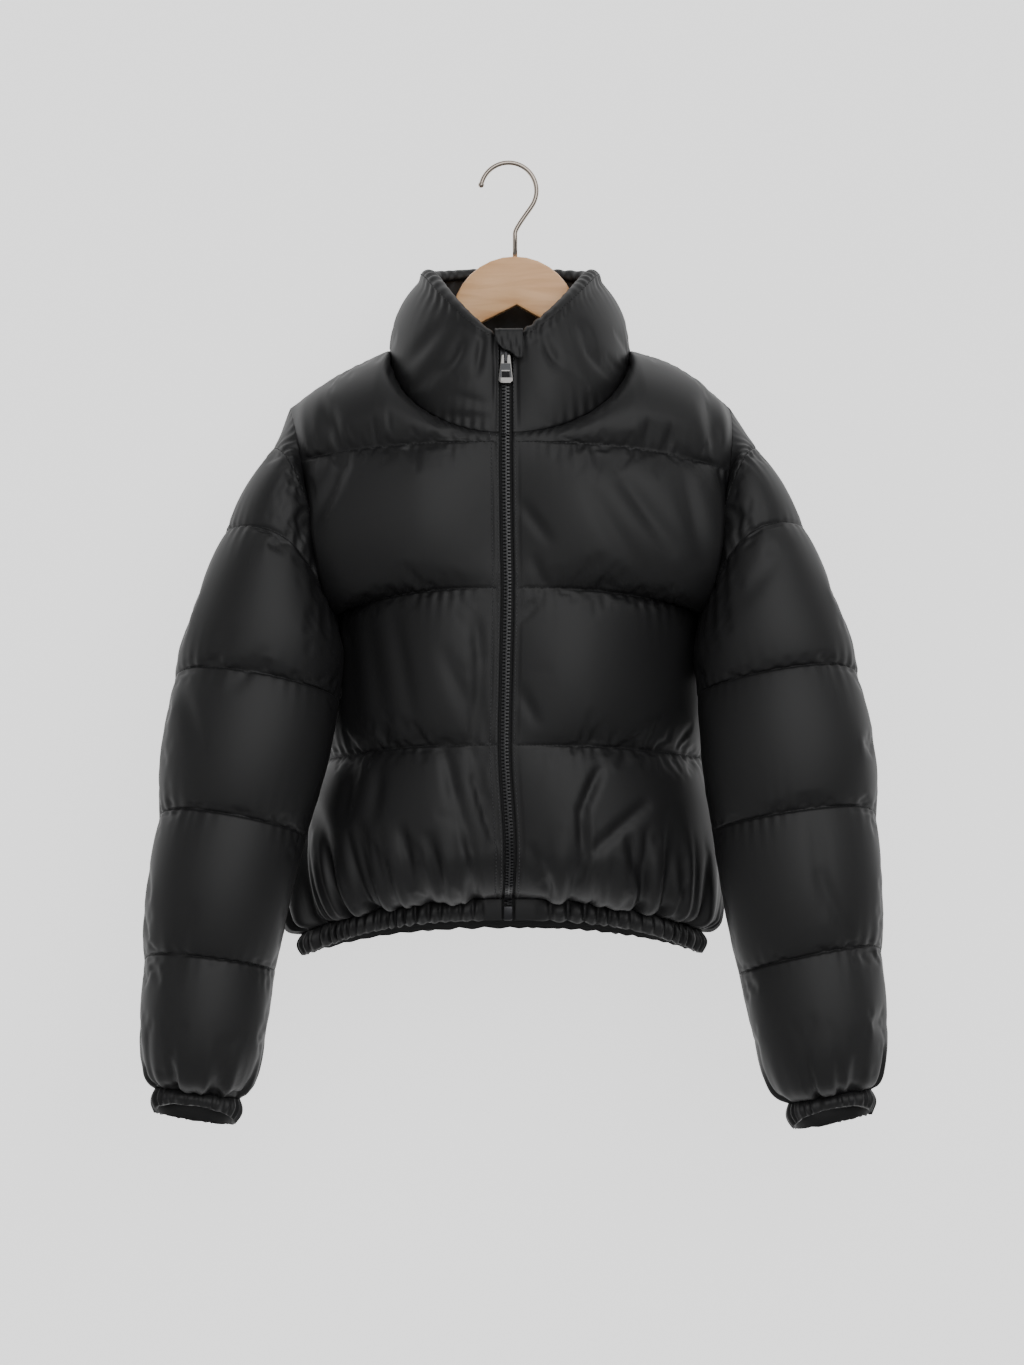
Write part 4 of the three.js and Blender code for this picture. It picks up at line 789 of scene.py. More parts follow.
@dataclass
class Pad:
    """A padded piece of cloth: a grid on its base surface, pinned along its stitch lines and seams, and its lift."""

    name: str
    node: str
    base: Array
    lift: Array
    pins: Array
    inside: tuple[float, float, float]
    fill: float
    free: Array
    inner_folds: float = 0.0
    zip_columns: tuple[int, ...] = ()
    start: Optional[Array] = None
    swollen: Optional[Array] = None

    def __post_init__(self) -> None:
        self.outward = outward_sign(self.base, self.inside)

    @classmethod
    def body(cls, name: str, face: Face, sides: Sequence[Side]) -> "Pad":
        """Return a body panel: one half of the front, or the back with both of its halves."""
        levels, pinned = line_levels((0, 1, 2, 3, 4), (34, 30, 28, 14))
        places = np.linspace(0, 1, 61 if face == Face.FRONT else 41)
        halves, lifts, frees = [], [], []
        for side in sides:
            order = places[::-1] if (face == Face.BACK and side == Side.LEFT) else places
            u, v = np.meshgrid(order, levels)
            points, lift = FORM.body(face, side, u, v), body_lift(face, side, u, v)
            free = eased((1 - u) * 170, 50)
            if face == Face.FRONT:
                free = free * eased(u * 170, ZIP_REACH)
            skip = 1 if halves else 0
            halves.append(points[:, skip:])
            lifts.append(lift[:, skip:])
            frees.append(free[:, skip:])
        base, lift, free = (np.concatenate(parts, axis=1) for parts in (halves, lifts, frees))
        inside = (sum(sides) * 40.0, 0.0, -400.0)
        pins = edge_pins(pinned, base.shape[1])
        zip_columns = (0,) if face == Face.FRONT else ()
        return cls(name, name, base, lift, pins, inside, 0.75, free, zip_columns=zip_columns)

    @classmethod
    def sleeve(cls, face: Face, side: Side) -> "Pad":
        """Return a half of a sleeve."""
        levels, pinned = line_levels((0, 1, 2, 3, 4, 5, 6), (14, 16, 26, 26, 26, 24))
        u, w = np.meshgrid(np.linspace(0, 1, 45), levels)
        name = f"sleeve_{face.name.lower()}_{side.name.lower()}"
        base = FORM.sleeve(face, side, u, w)
        pins = edge_pins(pinned, base.shape[1])
        free = eased(np.minimum(u, 1 - u) * SLEEVE_WIDTH, 30) * eased(w, 1.5)
        return cls(name, name, base, sleeve_lift(face, side, u, w), pins, (side * 235.0, -50.0, -520.0), 0.75, free)

    @classmethod
    def collar(cls) -> "Pad":
        """Return the collar, from the left front round the back to the right front."""
        levels, pinned = line_levels((0, 1, 1 + ROLL_SPAN), (24, 8))
        places = np.linspace(0, 1, 49)
        parts, lifts, frees = [], [], []
        for face, side, way in QUARTERS:
            u, h = np.meshgrid(places[::way], levels)
            skip = 1 if parts else 0
            parts.append(FORM.collar(face, side, u, h)[:, skip:])
            lifts.append(collar_lift(face, side, u, h)[:, skip:])
            near = eased(u * 150, 60) if face == Face.FRONT else 1.0
            frees.append((0.5 * near * np.clip(3 * (1 - h), 0, 1))[:, skip:])
        base, lift, free = (np.concatenate(rows, axis=1) for rows in (parts, lifts, frees))
        pins = edge_pins(pinned, base.shape[1])
        inside = (0.0, -10.0, -150.0)
        return cls("collar", "collar", base, lift, pins, inside, 0.8, free, COLLAR_INNER_FOLDS, (0, -1))

    def crease(self) -> None:
        """Press the creases of this piece into its swollen grid, apart from its pinned places."""
        normals = grid_normals(self.swollen, self.outward)
        pressed = self.swollen
        for crease in CREASES:
            if crease.node == self.node:
                pressed = crease.press(pressed, normals)
        height = np.sum((self.swollen - self.base) * normals, axis=-1)
        change = np.sum((pressed - self.swollen) * normals, axis=-1)
        change = np.clip(change, -0.7 * np.maximum(height, 0), 4) * np.clip(1 - self.pins, 0, 1)
        self.swollen = self.swollen + normals * change[..., None]

    def at(self, row: float, column: float) -> Array:
        """Return the place of the swollen cloth at a row and a column, which may lie between two."""
        r, c = int(min(row, len(self.swollen) - 2)), int(min(column, self.swollen.shape[1] - 2))
        low = lerp(self.swollen[r, c], self.swollen[r, c + 1], column - c)
        high = lerp(self.swollen[r + 1, c], self.swollen[r + 1, c + 1], column - c)
        return lerp(low, high, row - r)

    def build(self, finish: bpy.types.Material) -> bpy.types.Object:
        """Return a pad as a closed piece over its CAD node."""
        outer = refined(self.swollen)
        base = refined(self.base)
        pins = np.zeros(base.shape[:2])
        pins[::2, ::2] = self.pins
        normals = grid_normals(base, self.outward)
        height = np.maximum(np.sum((outer - base) * normals, axis=-1), 0)
        outer = outer + grid_normals(outer, self.outward) * puckers(base, pins, float(len(self.name) % 7))[..., None]
        for column in self.zip_columns:
            away = length(base - base[:, [column]])
            outer = outer + normals * np.maximum(welt(away), -0.85 * height)[..., None]
        depth = PAD_IN + self.inner_folds * loose_folds(*base.shape[:2])
        inner = (base - normals * depth[..., None])[::COARSE, ::COARSE]
        points = np.concatenate([outer.reshape(-1, 3), inner.reshape(-1, 3)])
        thing = new_object(self.name + "_pad", points, pad_faces(*outer.shape[:2], COARSE))
        finish_piece(thing, finish, JACKET, self.node)
        return thing

@dataclass(frozen=True)
class Filling:
    """How the cloth of the pads swells over its filling in the simulation."""

    pressure: float = 5.0
    growth: float = 0.018
    frames: int = 20
    start_share: float = 0.85
    cap: float = 7.0

    def sheet(self, pad: Pad) -> bpy.types.Object:
        """Return the outer cloth of a pad as an open mesh with its Cloth modifier."""
        rows, columns = pad.base.shape[:2]
        mesh = bpy.data.meshes.new(pad.name + "_sheet")
        faces = [f if pad.outward > 0 else f[::-1] for f in grid_faces(rows, columns)]
        mesh.from_pydata((pad.start.reshape(-1, 3) * MM).tolist(), [], faces)
        thing = bpy.data.objects.new(pad.name + "_sheet", mesh)
        bpy.context.scene.collection.objects.link(thing)
        group = thing.vertex_groups.new(name="pins")
        weights = pad.pins.ravel()
        for i in np.flatnonzero(weights > 0):
            group.add([int(i)], float(weights[i]), "REPLACE")
        cloth = thing.modifiers.new("Filling", "CLOTH")
        settings = cloth.settings
        settings.quality = 5
        settings.mass = 0.15
        settings.air_damping = 3.0
        settings.tension_stiffness = 20.0
        settings.compression_stiffness = 20.0
        settings.shear_stiffness = 8.0
        settings.bending_stiffness = 1.2
        settings.shrink_min = -self.growth
        settings.use_pressure = True
        settings.uniform_pressure_force = self.pressure
        settings.effector_weights.gravity = 0.0
        settings.vertex_group_mass = "pins"
        cloth.collision_settings.use_collision = False
        cloth.collision_settings.use_self_collision = False
        cloth.point_cache.frame_start = 1
        cloth.point_cache.frame_end = self.frames
        return thing

    def swell(self, pads: Sequence[Pad]) -> None:
        for pad in pads:
            normals = grid_normals(pad.base, pad.outward)
            pad.start = pad.base + normals * (pad.lift * self.start_share)[..., None]
        sheets = [self.sheet(pad) for pad in pads]
        scene = bpy.context.scene
        for number in range(1, self.frames + 1):
            scene.frame_set(number)
        graph = bpy.context.evaluated_depsgraph_get()
        for pad, thing in zip(pads, sheets):
            points = np.empty(pad.base.size)
            thing.evaluated_get(graph).data.vertices.foreach_get("co", points)
            moved = points.reshape(pad.base.shape) / MM - pad.start
            far = length(moved)
            limit = self.cap * np.tanh(far / self.cap) / np.maximum(far, 1e-9)
            pad.swollen = pad.start + moved * (limit * pad.free)[..., None]
            pad.crease()
            mesh = thing.data
            bpy.data.objects.remove(thing)
            bpy.data.meshes.remove(mesh)
        scene.frame_set(1)


COARSE = 4
PAD_IN = 1.2
LINE_CROWDING = 0.6
PUCKER_LENGTH = 10.0
PUCKER_REACH = 9.0
PUCKER_HEIGHT = 1.0
WELT_HEIGHT = 0.8
WELT_PLACE = 1.4
WELT_GROOVE = 3.7


def crowded(steps: int) -> Array:
    """Return places from 0 to 1 that stand closer together towards both ends."""
    t = np.linspace(0, 1, steps + 1)
    return lerp(t, (1 - np.cos(np.pi * t)) / 2, np.array(LINE_CROWDING))


def eased(distance: Array, reach: float) -> Array:
    """Return a share that rises smoothly from 0 to 1 over a distance."""
    t = np.clip(distance / reach, 0, 1)
    return t * t * (3 - 2 * t)


def line_levels(lines: Sequence[float], steps: Sequence[int]) -> tuple[Array, Array]:
    """Return the levels of a pad's rows, and which of them lie on a stitch line or an edge."""
    levels = [a + (b - a) * crowded(n)[:-1] for a, b, n in zip(lines[:-1], lines[1:], steps)]
    levels = np.append(np.concatenate(levels), lines[-1])
    return levels, np.isin(levels, lines)


def edge_pins(rows_pinned: Array, columns: int) -> Array:
    """Return the pins of a grid: whole rows on the stitch lines, and both of its sides."""
    pins = np.repeat(rows_pinned.astype(float)[:, None], columns, axis=1)
    pins[:, 0] = pins[:, -1] = 1.0
    return pins


def puckers(base: Array, pins: Array, seed: float) -> Array:
    """Return the heights of the short wrinkles that the stitches draw across each line and each seam.

    Args:
        base: The pad's base grid.
        pins: The pins of that grid.
        seed: A number that sets this pad's wrinkles apart from another's.
    """
    down = np.cumsum(np.concatenate([np.zeros((1, base.shape[1])), length(np.diff(base, axis=0))]), axis=0)
    along = np.cumsum(np.concatenate([np.zeros((base.shape[0], 1)), length(np.diff(base, axis=1))], axis=1), axis=1)
    heights = np.zeros(base.shape[:2])
    for number, row in enumerate(np.flatnonzero(pins[:, pins.shape[1] // 2] == 1)):
        away = np.abs(down - down[row])
        side = np.where(down > down[row], 0.0, 1.7)
        phase = along[row] / PUCKER_LENGTH + 0.45 * np.sin(along[row] / 31 + seed + number) + side
        strength = 0.55 + 0.45 * np.sin(along[row] / 19 + 2 * seed + 3 * number + side)
        reach = PUCKER_REACH * (0.7 + 0.5 * np.sin(along[row] / 13 + seed + side))
        heights += strength * np.sin(2 * np.pi * phase) * np.exp(-away / reach) * (1 - np.exp(-away / 1.2))
    return PUCKER_HEIGHT * heights


def welt(distance: Array) -> Array:
    """Return the height of the narrow welt along the zip, less the groove that its topstitching draws beside it."""
    crest = np.exp(-((distance - WELT_PLACE) ** 2))
    groove = np.exp(-(((distance - WELT_GROOVE) / 1.2) ** 2))
    return WELT_HEIGHT * (crest - 1.8 * groove)


def loose_folds(rows: int, columns: int) -> Array:
    """Return the slanting folds of a loose inner cloth, from 0 to 1, for a grid; they die out at its two long edges."""
    down, turn = np.meshgrid(np.linspace(0, 1, rows), np.linspace(0, 1, columns), indexing="ij")
    slant = np.sin(2 * np.pi * (21 * turn + 1.3 * down + 0.5 * np.sin(17 * turn)))
    cross = np.sin(2 * np.pi * (34 * turn - 2.2 * down + 0.4 * np.sin(29 * turn + 1)))
    return (0.5 + 0.3 * slant + 0.2 * cross) * eased(down, 0.35) * eased(1 - down, 0.3)


@dataclass(frozen=True)
class Elastic:
    """A gathered band of cloth over elastic: the hem band or a cuff."""

    name: str
    base: Array
    lift: Array
    inside: tuple[float, float, float]

    # How much longer the cloth lies flat than gathered
    FULLNESS_AROUND = 1.2
    FULLNESS_DOWN = 1.15

    @classmethod
    def hem(cls) -> "Elastic":
        """Return the hem band, from the left of the zip round the back to its right."""
        h = np.linspace(0, 1, 13)
        places = np.linspace(0, 1, 133)
        parts, lifts = [], []
        for face, side, way in QUARTERS:
            u, down = np.meshgrid(places[::way], h)
            skip = 1 if parts else 0
            turn = hem_turn(face, side, u)
            finer = 0.7 * gather(turn, 2 * HEM_WAVES - 13, 2.2) * beside_zip(turn) * np.sin(np.pi * down)
            strip = FORM.band(face, side, u, down)
            strip[..., 2] -= 1.1 * down * gather(turn, HEM_WAVES, 0.6) * beside_zip(turn)
            parts.append(strip[:, skip:])
            lifts.append((band_lift(turn, down) * 1.15 + finer)[:, skip:])
        return cls("hem_band", np.concatenate(parts, axis=1), np.concatenate(lifts, axis=1), (0.0, 0.0, -650.0))

    @classmethod
    def cuff(cls, side: Side) -> "Elastic":
        """Return a cuff, from the outer seam round the front and the back."""
        h = np.linspace(0, 1, 13)
        places = np.linspace(0, 1, 61)
        parts, lifts = [], []
        for face, way in ((Face.FRONT, 1), (Face.BACK, -1)):
            u, down = np.meshgrid(places[::way], h)
            turn = u / 2 if face == Face.FRONT else 1 - u / 2
            skip = 1 if parts else 0
            finer = 0.5 * gather(turn, 2 * CUFF_WAVES + 5, side + 1.2) * np.sin(np.pi * down)
            strip = FORM.cuff(face, side, u, down)
            strip[..., 2] -= 0.8 * down * gather(turn, CUFF_WAVES, side + 4)
            parts.append(strip[:, skip:])
            lifts.append((cuff_lift(side, turn, down) + finer)[:, skip:])
        name = f"cuff_{side.name.lower()}"
        return cls(name, np.concatenate(parts, axis=1), np.concatenate(lifts, axis=1), (side * 265.0, -64.0, -800.0))

    def build(self, finish: bpy.types.Material) -> bpy.types.Object:
        """Return the band as a closed thin piece over its CAD node."""
        outward = outward_sign(self.base, self.inside)
        normals = grid_normals(self.base, outward)
        outer = self.base + normals * self.lift[..., None]
        inner = (self.base - normals * PAD_IN)[::COARSE, ::COARSE]
        points = np.concatenate([outer.reshape(-1, 3), inner.reshape(-1, 3)])
        thing = new_object(self.name + "_gathers", points, pad_faces(*outer.shape[:2], COARSE))
        finish_piece(thing, finish, JACKET, self.name)
        return thing


# Zip and stitches


class ZipLine:
    """The middle line of the zip on the base surface of the front, from the band's free edge to the collar's top."""

    LEVELS = (0, 0.05, 0.14, 0.3, 0.46, 0.68, 0.9, 1, 1.1, 1.3, 1.55, 1.8, 1.93)

    def __init__(self) -> None:
        side, face = Side.LEFT, Face.FRONT
        levels = np.concatenate([self.LEVELS, ARMHOLE_LEVELS])
        band = FORM.band(face, side, 0.0, np.array([1, 0.75, 0.3]))
        band[:, 0] = FORM.edge_x(side, 0)
        body = FORM.body(face, side, 0.0, levels)
        body[:, 0] = FORM.edge_x(side, levels)
        collar = FORM.collar(face, side, 0.0, np.array([0.28, 0.72, 1]))
        self.points = np.concatenate([band, body, collar])
        self.points[:, 0] += ZIP_LEFT_EDGE
        self.distances = np.append(0, np.cumsum(length(np.diff(self.points, axis=0))))

    def place(self, distance: float) -> tuple[Array, Array, Array]:
        """Return the point at a distance along the zip, with the directions along it and out of the front."""
        last = len(self.points) - 1
        i = int(np.clip(np.searchsorted(self.distances, distance) - 1, 0, last - 1))
        t = np.clip((distance - self.distances[i]) / (self.distances[i + 1] - self.distances[i]), 0, 1)
        tangents = [unit(self.points[min(last, k + 1)] - self.points[max(0, k - 1)]) for k in (i, i + 1)]
        along = unit(lerp(tangents[0], tangents[1], t))
        out = unit(np.array([0, -along[2], along[1]]))
        return lerp(self.points[i], self.points[i + 1], t), along, out

    def at_height(self, height: float) -> float:
        """Return the distance along the zip of a point at a height."""
        return float(np.interp(height, self.points[:, 2], self.distances))


ZIP = ZipLine()
PIVOT_HEIGHT = -172.0


@dataclass(frozen=True)
class Teeth:
    """The two rows of moulded teeth, each tooth with a narrow neck and a broad head past the middle."""

    pitch: float = 2.9
    back: float = -1.5
    front: float = 0.9
    lowest: float = 14.0
    share_above: float = 0.9

    # Sections of a tooth from its root to its head: sideways place, half its height, and how far its face lies back
    SECTIONS = ((3.1, 1.05, 0.5), (1.0, 0.75, 0.1), (0.3, 1.15, 0.0), (-0.75, 0.85, 0.35))

    def build(self, finish: bpy.types.Material) -> bpy.types.Object:
        """Return the teeth as one piece over the CAD's chain."""
        pivot = ZIP.at_height(PIVOT_HEIGHT)
        top = pivot + (ZIP.distances[-1] - pivot) * self.share_above
        points, faces = [], []
        for number in range(int((top - self.lowest) / (self.pitch / 2))):
            side = -1 if number % 2 else 1
            middle, along, out = ZIP.place(self.lowest + number * self.pitch / 2)
            first = len(points)
            for x, half, lower in self.SECTIONS:
                face = self.front - lower
                corners = ((-half, self.back), (half, self.back), (half * 0.8, face), (-half * 0.8, face))
                for up, depth in corners:
                    points.append(middle + np.array([side * x, 0, 0]) + along * up + out * depth)
            for k in range(len(self.SECTIONS) - 1):
                for c in range(4):
                    a, b = first + 4 * k + c, first + 4 * k + (c + 1) % 4
                    faces.append((a, b, b + 4, a + 4))
            last = first + 4 * (len(self.SECTIONS) - 1)
            faces.append(tuple(range(first, first + 4)))
            faces.append(tuple(range(last, last + 4)))
        thing = new_object("zip_teeth", np.array(points), faces, smooth=False)
        finish_piece(thing, finish, JACKET, "zip_chain")
        return thing


@dataclass(frozen=True)
class Thread:
    """Stitches of one thread, laid along lines on the cloth."""

    stitch: float = 2.4
    gap: float = 0.9
    half: float = 0.28

    def lay(self, name: str, lines: Sequence[tuple[Array, Array]], finish: bpy.types.Material) -> bpy.types.Object:
        """Return the stitches along several lines.

        Args:
            name: The piece's name.
            lines: Pairs of a line's points and the outward normals at them.
            finish: The thread's material.
        """
        points, faces = [], []
        for line, normals in lines:
            distances = np.append(0, np.cumsum(length(np.diff(line, axis=0))))
            starts = np.arange(0.8, distances[-1] - self.stitch, self.stitch + self.gap)
            for start in starts:
                ends = [
                    np.array([np.interp(d, distances, line[:, k]) for k in range(3)])
                    for d in (start, start + self.stitch)
                ]
                normal = unit(np.array([np.interp(start, distances, normals[:, k]) for k in range(3)]))
                along = unit(ends[1] - ends[0])
                across = np.cross(along, normal) * self.half
                rise = normal * self.half
                first = len(points)
                points.append(ends[0] - rise)
                for share in (0.22, 0.78):
                    middle = lerp(ends[0], ends[1], share) + rise
                    points.extend([middle - across, middle + rise, middle + across, middle - rise])
                points.append(ends[1] - rise)
                for c in range(4):
                    a, b = first + 1 + c, first + 1 + (c + 1) % 4
                    faces += [(first, a, b), (a, a + 4, b + 4, b), (a + 4, first + 9, b + 4)]
        thing = new_object(name, np.array(points), faces)
        finish_piece(thing, finish, JACKET)
        return thing


def edge_lines(pads: dict[str, Pad]) -> list[tuple[Array, Array]]:
    """Return the topstitch lines beside the zip, on both fronts and the collar: two on the left and one on the right."""
    lines = []
    for name, columns in (("front_panel_left", (0.6, 1.9)), ("front_panel_right", (0.6,))):
        pad = pads[name]
        normals = grid_normals(pad.swollen, pad.outward)
        for column in columns:
            rows = range(1, len(pad.swollen) - 1)
            points = np.array([pad.at(r, column) for r in rows])
            outwards = np.array([normals[r, 1] for r in rows])
            raised = welt(length(points - pad.swollen[1:-1, 0]))[:, None]
            lines.append((points + outwards * np.maximum(raised, 0), outwards))
    pad = pads["collar"]
    normals = grid_normals(pad.swollen, pad.outward)
    last = pad.swollen.shape[1] - 1
    for column, near in ((0.5, 1), (last - 0.5, last - 1)):
        rows = range(1, len(pad.swollen) - 1)
        outwards = np.array([normals[r, near] for r in rows])
        lines.append((np.array([pad.at(r, column) for r in rows]) + outwards * WELT_HEIGHT, outwards))
    return lines


def quilt_lines(pads: dict[str, Pad]) -> list[tuple[Array, Array]]:
    """Return the lines of stitches that hold the baffles of the body and the sleeves."""
    lines = []
    for pad in pads.values():
        normals = grid_normals(pad.base, pad.outward)
        rows = np.flatnonzero(pad.pins[:, 5] == 1)[1:-1]
        lines += [(pad.swollen[r, 1:-1], normals[r, 1:-1]) for r in rows]
    return lines


@dataclass(frozen=True)
class Garage:
    """The strip of cloth folded over the zip's top, with its slanted front flap, about the pull's pivot."""

    left: float = -9.0
    right: float = 14.4
    front: float = 8.4
    back: float = -4.0
    top: float = 22.4
    tail: float = 8.0
    thickness: float = 1.2

    def build(self, finish: bpy.types.Material) -> bpy.types.Object:
        """Return the garage as a closed piece over its CAD node."""
        middle, along, out = ZIP.place(ZIP.at_height(PIVOT_HEIGHT))
        rows, columns = 37, 25
        x = np.linspace(self.left, self.right, columns)
        foot = np.interp(x, (self.left, -2, 4.5, 9, self.right), (13, 4, 2.2, -3, -3.5))
        base = np.empty((rows, columns, 3))
        for c in range(columns):
            flap = [(self.front, foot[c]), (self.front + 0.6, 0.5 * (foot[c] + self.top)), (self.front, self.top - 2)]
            over = [(self.front - 2, self.top), (self.back + 2, self.top)]
            path = np.array([*flap, *over, (self.back, self.top - 2), (self.back, self.tail)])
            reach = np.append(0, np.cumsum(length(np.diff(path, axis=0))))
            t = np.linspace(0, reach[-1], rows)
            depth, height = np.interp(t, reach, path[:, 0]), np.interp(t, reach, path[:, 1])
            base[:, c] = middle + np.outer(depth, out) + np.outer(height, along) + np.array([x[c], 0, 0])
        outward = outward_sign(base, middle + out * 2 + along * 10)
        normals = grid_normals(base, outward)
        across, down = np.meshgrid(x, np.linspace(0, 1, rows))
        front = np.clip(1.5 - 3 * down, 0, 1)
        wrinkle = np.sin(0.9 * across + 14 * down + 0.6) + 0.6 * np.sin(1.7 * across - 9 * down)
        outer = base + normals * (self.thickness / 2 + 0.35 * front * wrinkle)[..., None]
        inner = (base - normals * self.thickness / 2)[::COARSE, ::COARSE]
        points = np.concatenate([outer.reshape(-1, 3), inner.reshape(-1, 3)])
        thing = new_object("zip_garage_fold", points, pad_faces(rows, columns, COARSE))
        finish_piece(thing, finish, JACKET, "zip_garage")
        return thing


@dataclass(frozen=True)
class PullInlay:
    """The dark enamel panel, and a dark plate of painted shade in the window in the face of the pull."""

    out: float = 5.6
    panel_top: float = -7.2
    foot: float = -13.0
    window_top: float = -14.0
    window_foot: float = -19.5
    window_depth: float = 0.52

    def half_width(self, z: float) -> float:
        """Return half the panel's width at a height below the pivot."""
        return lerp(3.7, 6.0, -z / 22) - 0.5

    def build(self, enamel: bpy.types.Material, shade: bpy.types.Material) -> None:
        """Build the panel, and the dark plate of painted shade at the window's floor, on the pull."""
        middle, along, out = ZIP.place(ZIP.at_height(PIVOT_HEIGHT))
        across = np.array([1.0, 0, 0])

        def plate(name: str, corners: Sequence, back: float, front: float, finish: bpy.types.Material) -> None:
            points = [middle + across * x + along * z + out * depth for depth in (back, front) for x, z in corners]
            count = len(corners)
            sides = [(k, (k + 1) % count, count + (k + 1) % count, count + k) for k in range(count)]
            ends = [tuple(range(count)), tuple(range(count, 2 * count))]
            thing = new_object(name, np.array(points), [*ends, *sides], smooth=False)
            finish_piece(thing, finish, PULL_TAB)

        upper = self.panel_top
        wide, foot, low = self.half_width(upper), self.half_width(self.foot), self.half_width(self.window_foot)
        back, front = self.out - 0.2, self.out + 0.06
        plate("pull_enamel", [(-wide, upper), (wide, upper), (foot, self.foot), (-foot, self.foot)], back, front, enamel)
        for side in Side:
            corners = [(side * 3.5, self.foot), (side * foot, self.foot)]
            corners += [(side * low, self.window_foot), (side * 3.5, self.window_foot)]
            plate(f"pull_enamel_{side.name.lower()}", corners, back, front, enamel)
        # The window's floor is a dark matt plate: painted shade standing for the hole in the pull
        floor = self.out - self.window_depth
        low, high = self.window_foot + 0.1, self.window_top - 0.1
        plate("pull_window_floor", [(-3.4, low), (3.4, low), (3.4, high), (-3.4, high)], floor - 0.05, floor, shade)


@dataclass(frozen=True)
class Hook:
    """The hanger's wire hook: a bend over the rail, then a straight run down into the wood."""

    wire: float = 4.0
    bend: float = 24.0
    bend_x: float = -1.3
    stem_x: float = 4.3
    foot_z: float = -100.0
    tip_angle: float = 168.0
    turn_angle: float = -34.0
    knee_z: float = -50.0
    sides: int = 20

    def line(self) -> Array:
        """Return the wire's middle line, smooth, from its tip to its foot."""
        centre_z = self.wire / 2 - self.bend
        angles = np.radians(np.linspace(self.tip_angle, self.turn_angle, 60))
        bend = stack(self.bend_x + self.bend * np.cos(angles), np.zeros(60), centre_z + self.bend * np.sin(angles))
        end, before = bend[-1], bend[-2]
        lower = np.array([self.stem_x, 0, self.knee_z - 9])
        t = np.linspace(0, 1, 14)[1:, None]
        leave = unit(end - before) * 20
        arrive = np.array([0, 0, -14.0])
        knee = end * (2 * t**3 - 3 * t**2 + 1) + leave * (t**3 - 2 * t**2 + t)
        knee = knee + lower * (3 * t**2 - 2 * t**3) + arrive * (t**3 - t**2)
        return np.concatenate([bend, knee, [[self.stem_x, 0, self.foot_z]]])

    def build(self, finish: bpy.types.Material) -> bpy.types.Object:
        """Return the hook with its small round tip, over its CAD node."""
        line = self.line()
        around = np.radians(np.arange(self.sides) * 360 / self.sides)
        points = []
        tangents = unit(np.gradient(line, axis=0))
        for centre, along in zip(line, tangents):
            across = np.array([along[2], 0, -along[0]])
            ring = np.outer(np.cos(around), across) + np.outer(np.sin(around), [0, 1, 0])
            points.append(centre + ring * self.wire / 2)
        count = len(points)
        faces = grid_faces(count, self.sides, closed=True)
        faces.append(tuple(range((count - 1) * self.sides, count * self.sides)))
        faces.append(tuple(range(self.sides)))
        first = count * self.sides
        radius = self.wire * 0.66
        polar = np.radians(np.linspace(0, 180, 12))
        round_tip = [(np.sin(p) * np.cos(a), np.sin(p) * np.sin(a), np.cos(p)) for p in polar for a in around]
        ball = [line[0] + radius * np.array(direction) for direction in round_tip]
        faces += grid_faces(12, self.sides, first, closed=True)
        thing = new_object("hook_wire", np.array([*np.concatenate(points), *ball]), faces)
        finish_piece(thing, finish, JACKET, "hanger_hook")
        return thing


@dataclass(frozen=True)
class Beech:
    """Lacquered beech: pale, with long soft grain along the arms and short dark flecks."""

    pale: str = "#f0bd88"
    dark: str = "#dba26c"
    ring_size: float = 9.0
    stretch: float = 0.12

    def material(self) -> bpy.types.Material:
        """Return the wood as a material."""
        made = bpy.data.materials.new("lacquered_beech")
        made.use_nodes = True
        tree = made.node_tree
        shader = tree.nodes["Principled BSDF"]
        place = add_node(tree, "ShaderNodeTexCoord", {}, {})
        stretched = add_node(
            tree,
            "ShaderNodeMapping",
            {"Scale": (self.stretch, 1.0, 1.0), "Rotation": (0.0, math.radians(8), 0.0)},
            {"Vector": place.outputs["Object"]},
        )
        grain = add_node(
            tree,
            "ShaderNodeTexNoise",
            {"Scale": 1 / (self.ring_size * MM), "Detail": 6.0, "Roughness": 0.55, "Distortion": 0.6},
            {"Vector": stretched.outputs["Vector"]},
        )
        ramp = add_node(tree, "ShaderNodeValToRGB", {}, {"Fac": grain.outputs["Fac"]})
        ramp.color_ramp.elements[0].color = linear(self.dark)
        ramp.color_ramp.elements[0].position = 0.3
        ramp.color_ramp.elements[1].color = linear(self.pale)
        ramp.color_ramp.elements[1].position = 0.6
        tree.links.new(ramp.outputs["Color"], shader.inputs["Base Color"])
        shader.inputs["Roughness"].default_value = 0.42
        shader.inputs["Coat Weight"].default_value = 0.15
        shader.inputs["Coat Roughness"].default_value = 0.3
        return made


def dress_node(node: str, finish: bpy.types.Material, bevel: float = 0.0, angle: float = 35.0) -> None:
    """Give a CAD node its finish, with smooth shading under an angle and a small bevel on its edges.

    Args:
        node: The CAD node's name.
        finish: Its material.
        bevel: The bevel's width in millimetres, or 0 for none.
        angle: Edges flatter than this many degrees are shaded smooth.
    """
    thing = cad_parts[node]
    thing.data.materials.clear()
    thing.data.materials.append(finish)
    weld = thing.modifiers.new("Weld", "WELD")
    weld.merge_threshold = 1e-6
    if bevel:
        edge = thing.modifiers.new("Bevel", "BEVEL")
        edge.width = bevel * MM
        edge.segments = 2
        edge.limit_method = "ANGLE"
    split = thing.modifiers.new("Split", "EDGE_SPLIT")
    split.split_angle = math.radians(angle)
    thing.data.polygons.foreach_set("use_smooth", [True] * len(thing.data.polygons))
    log.info("%s: finished as %s", node, finish.name)


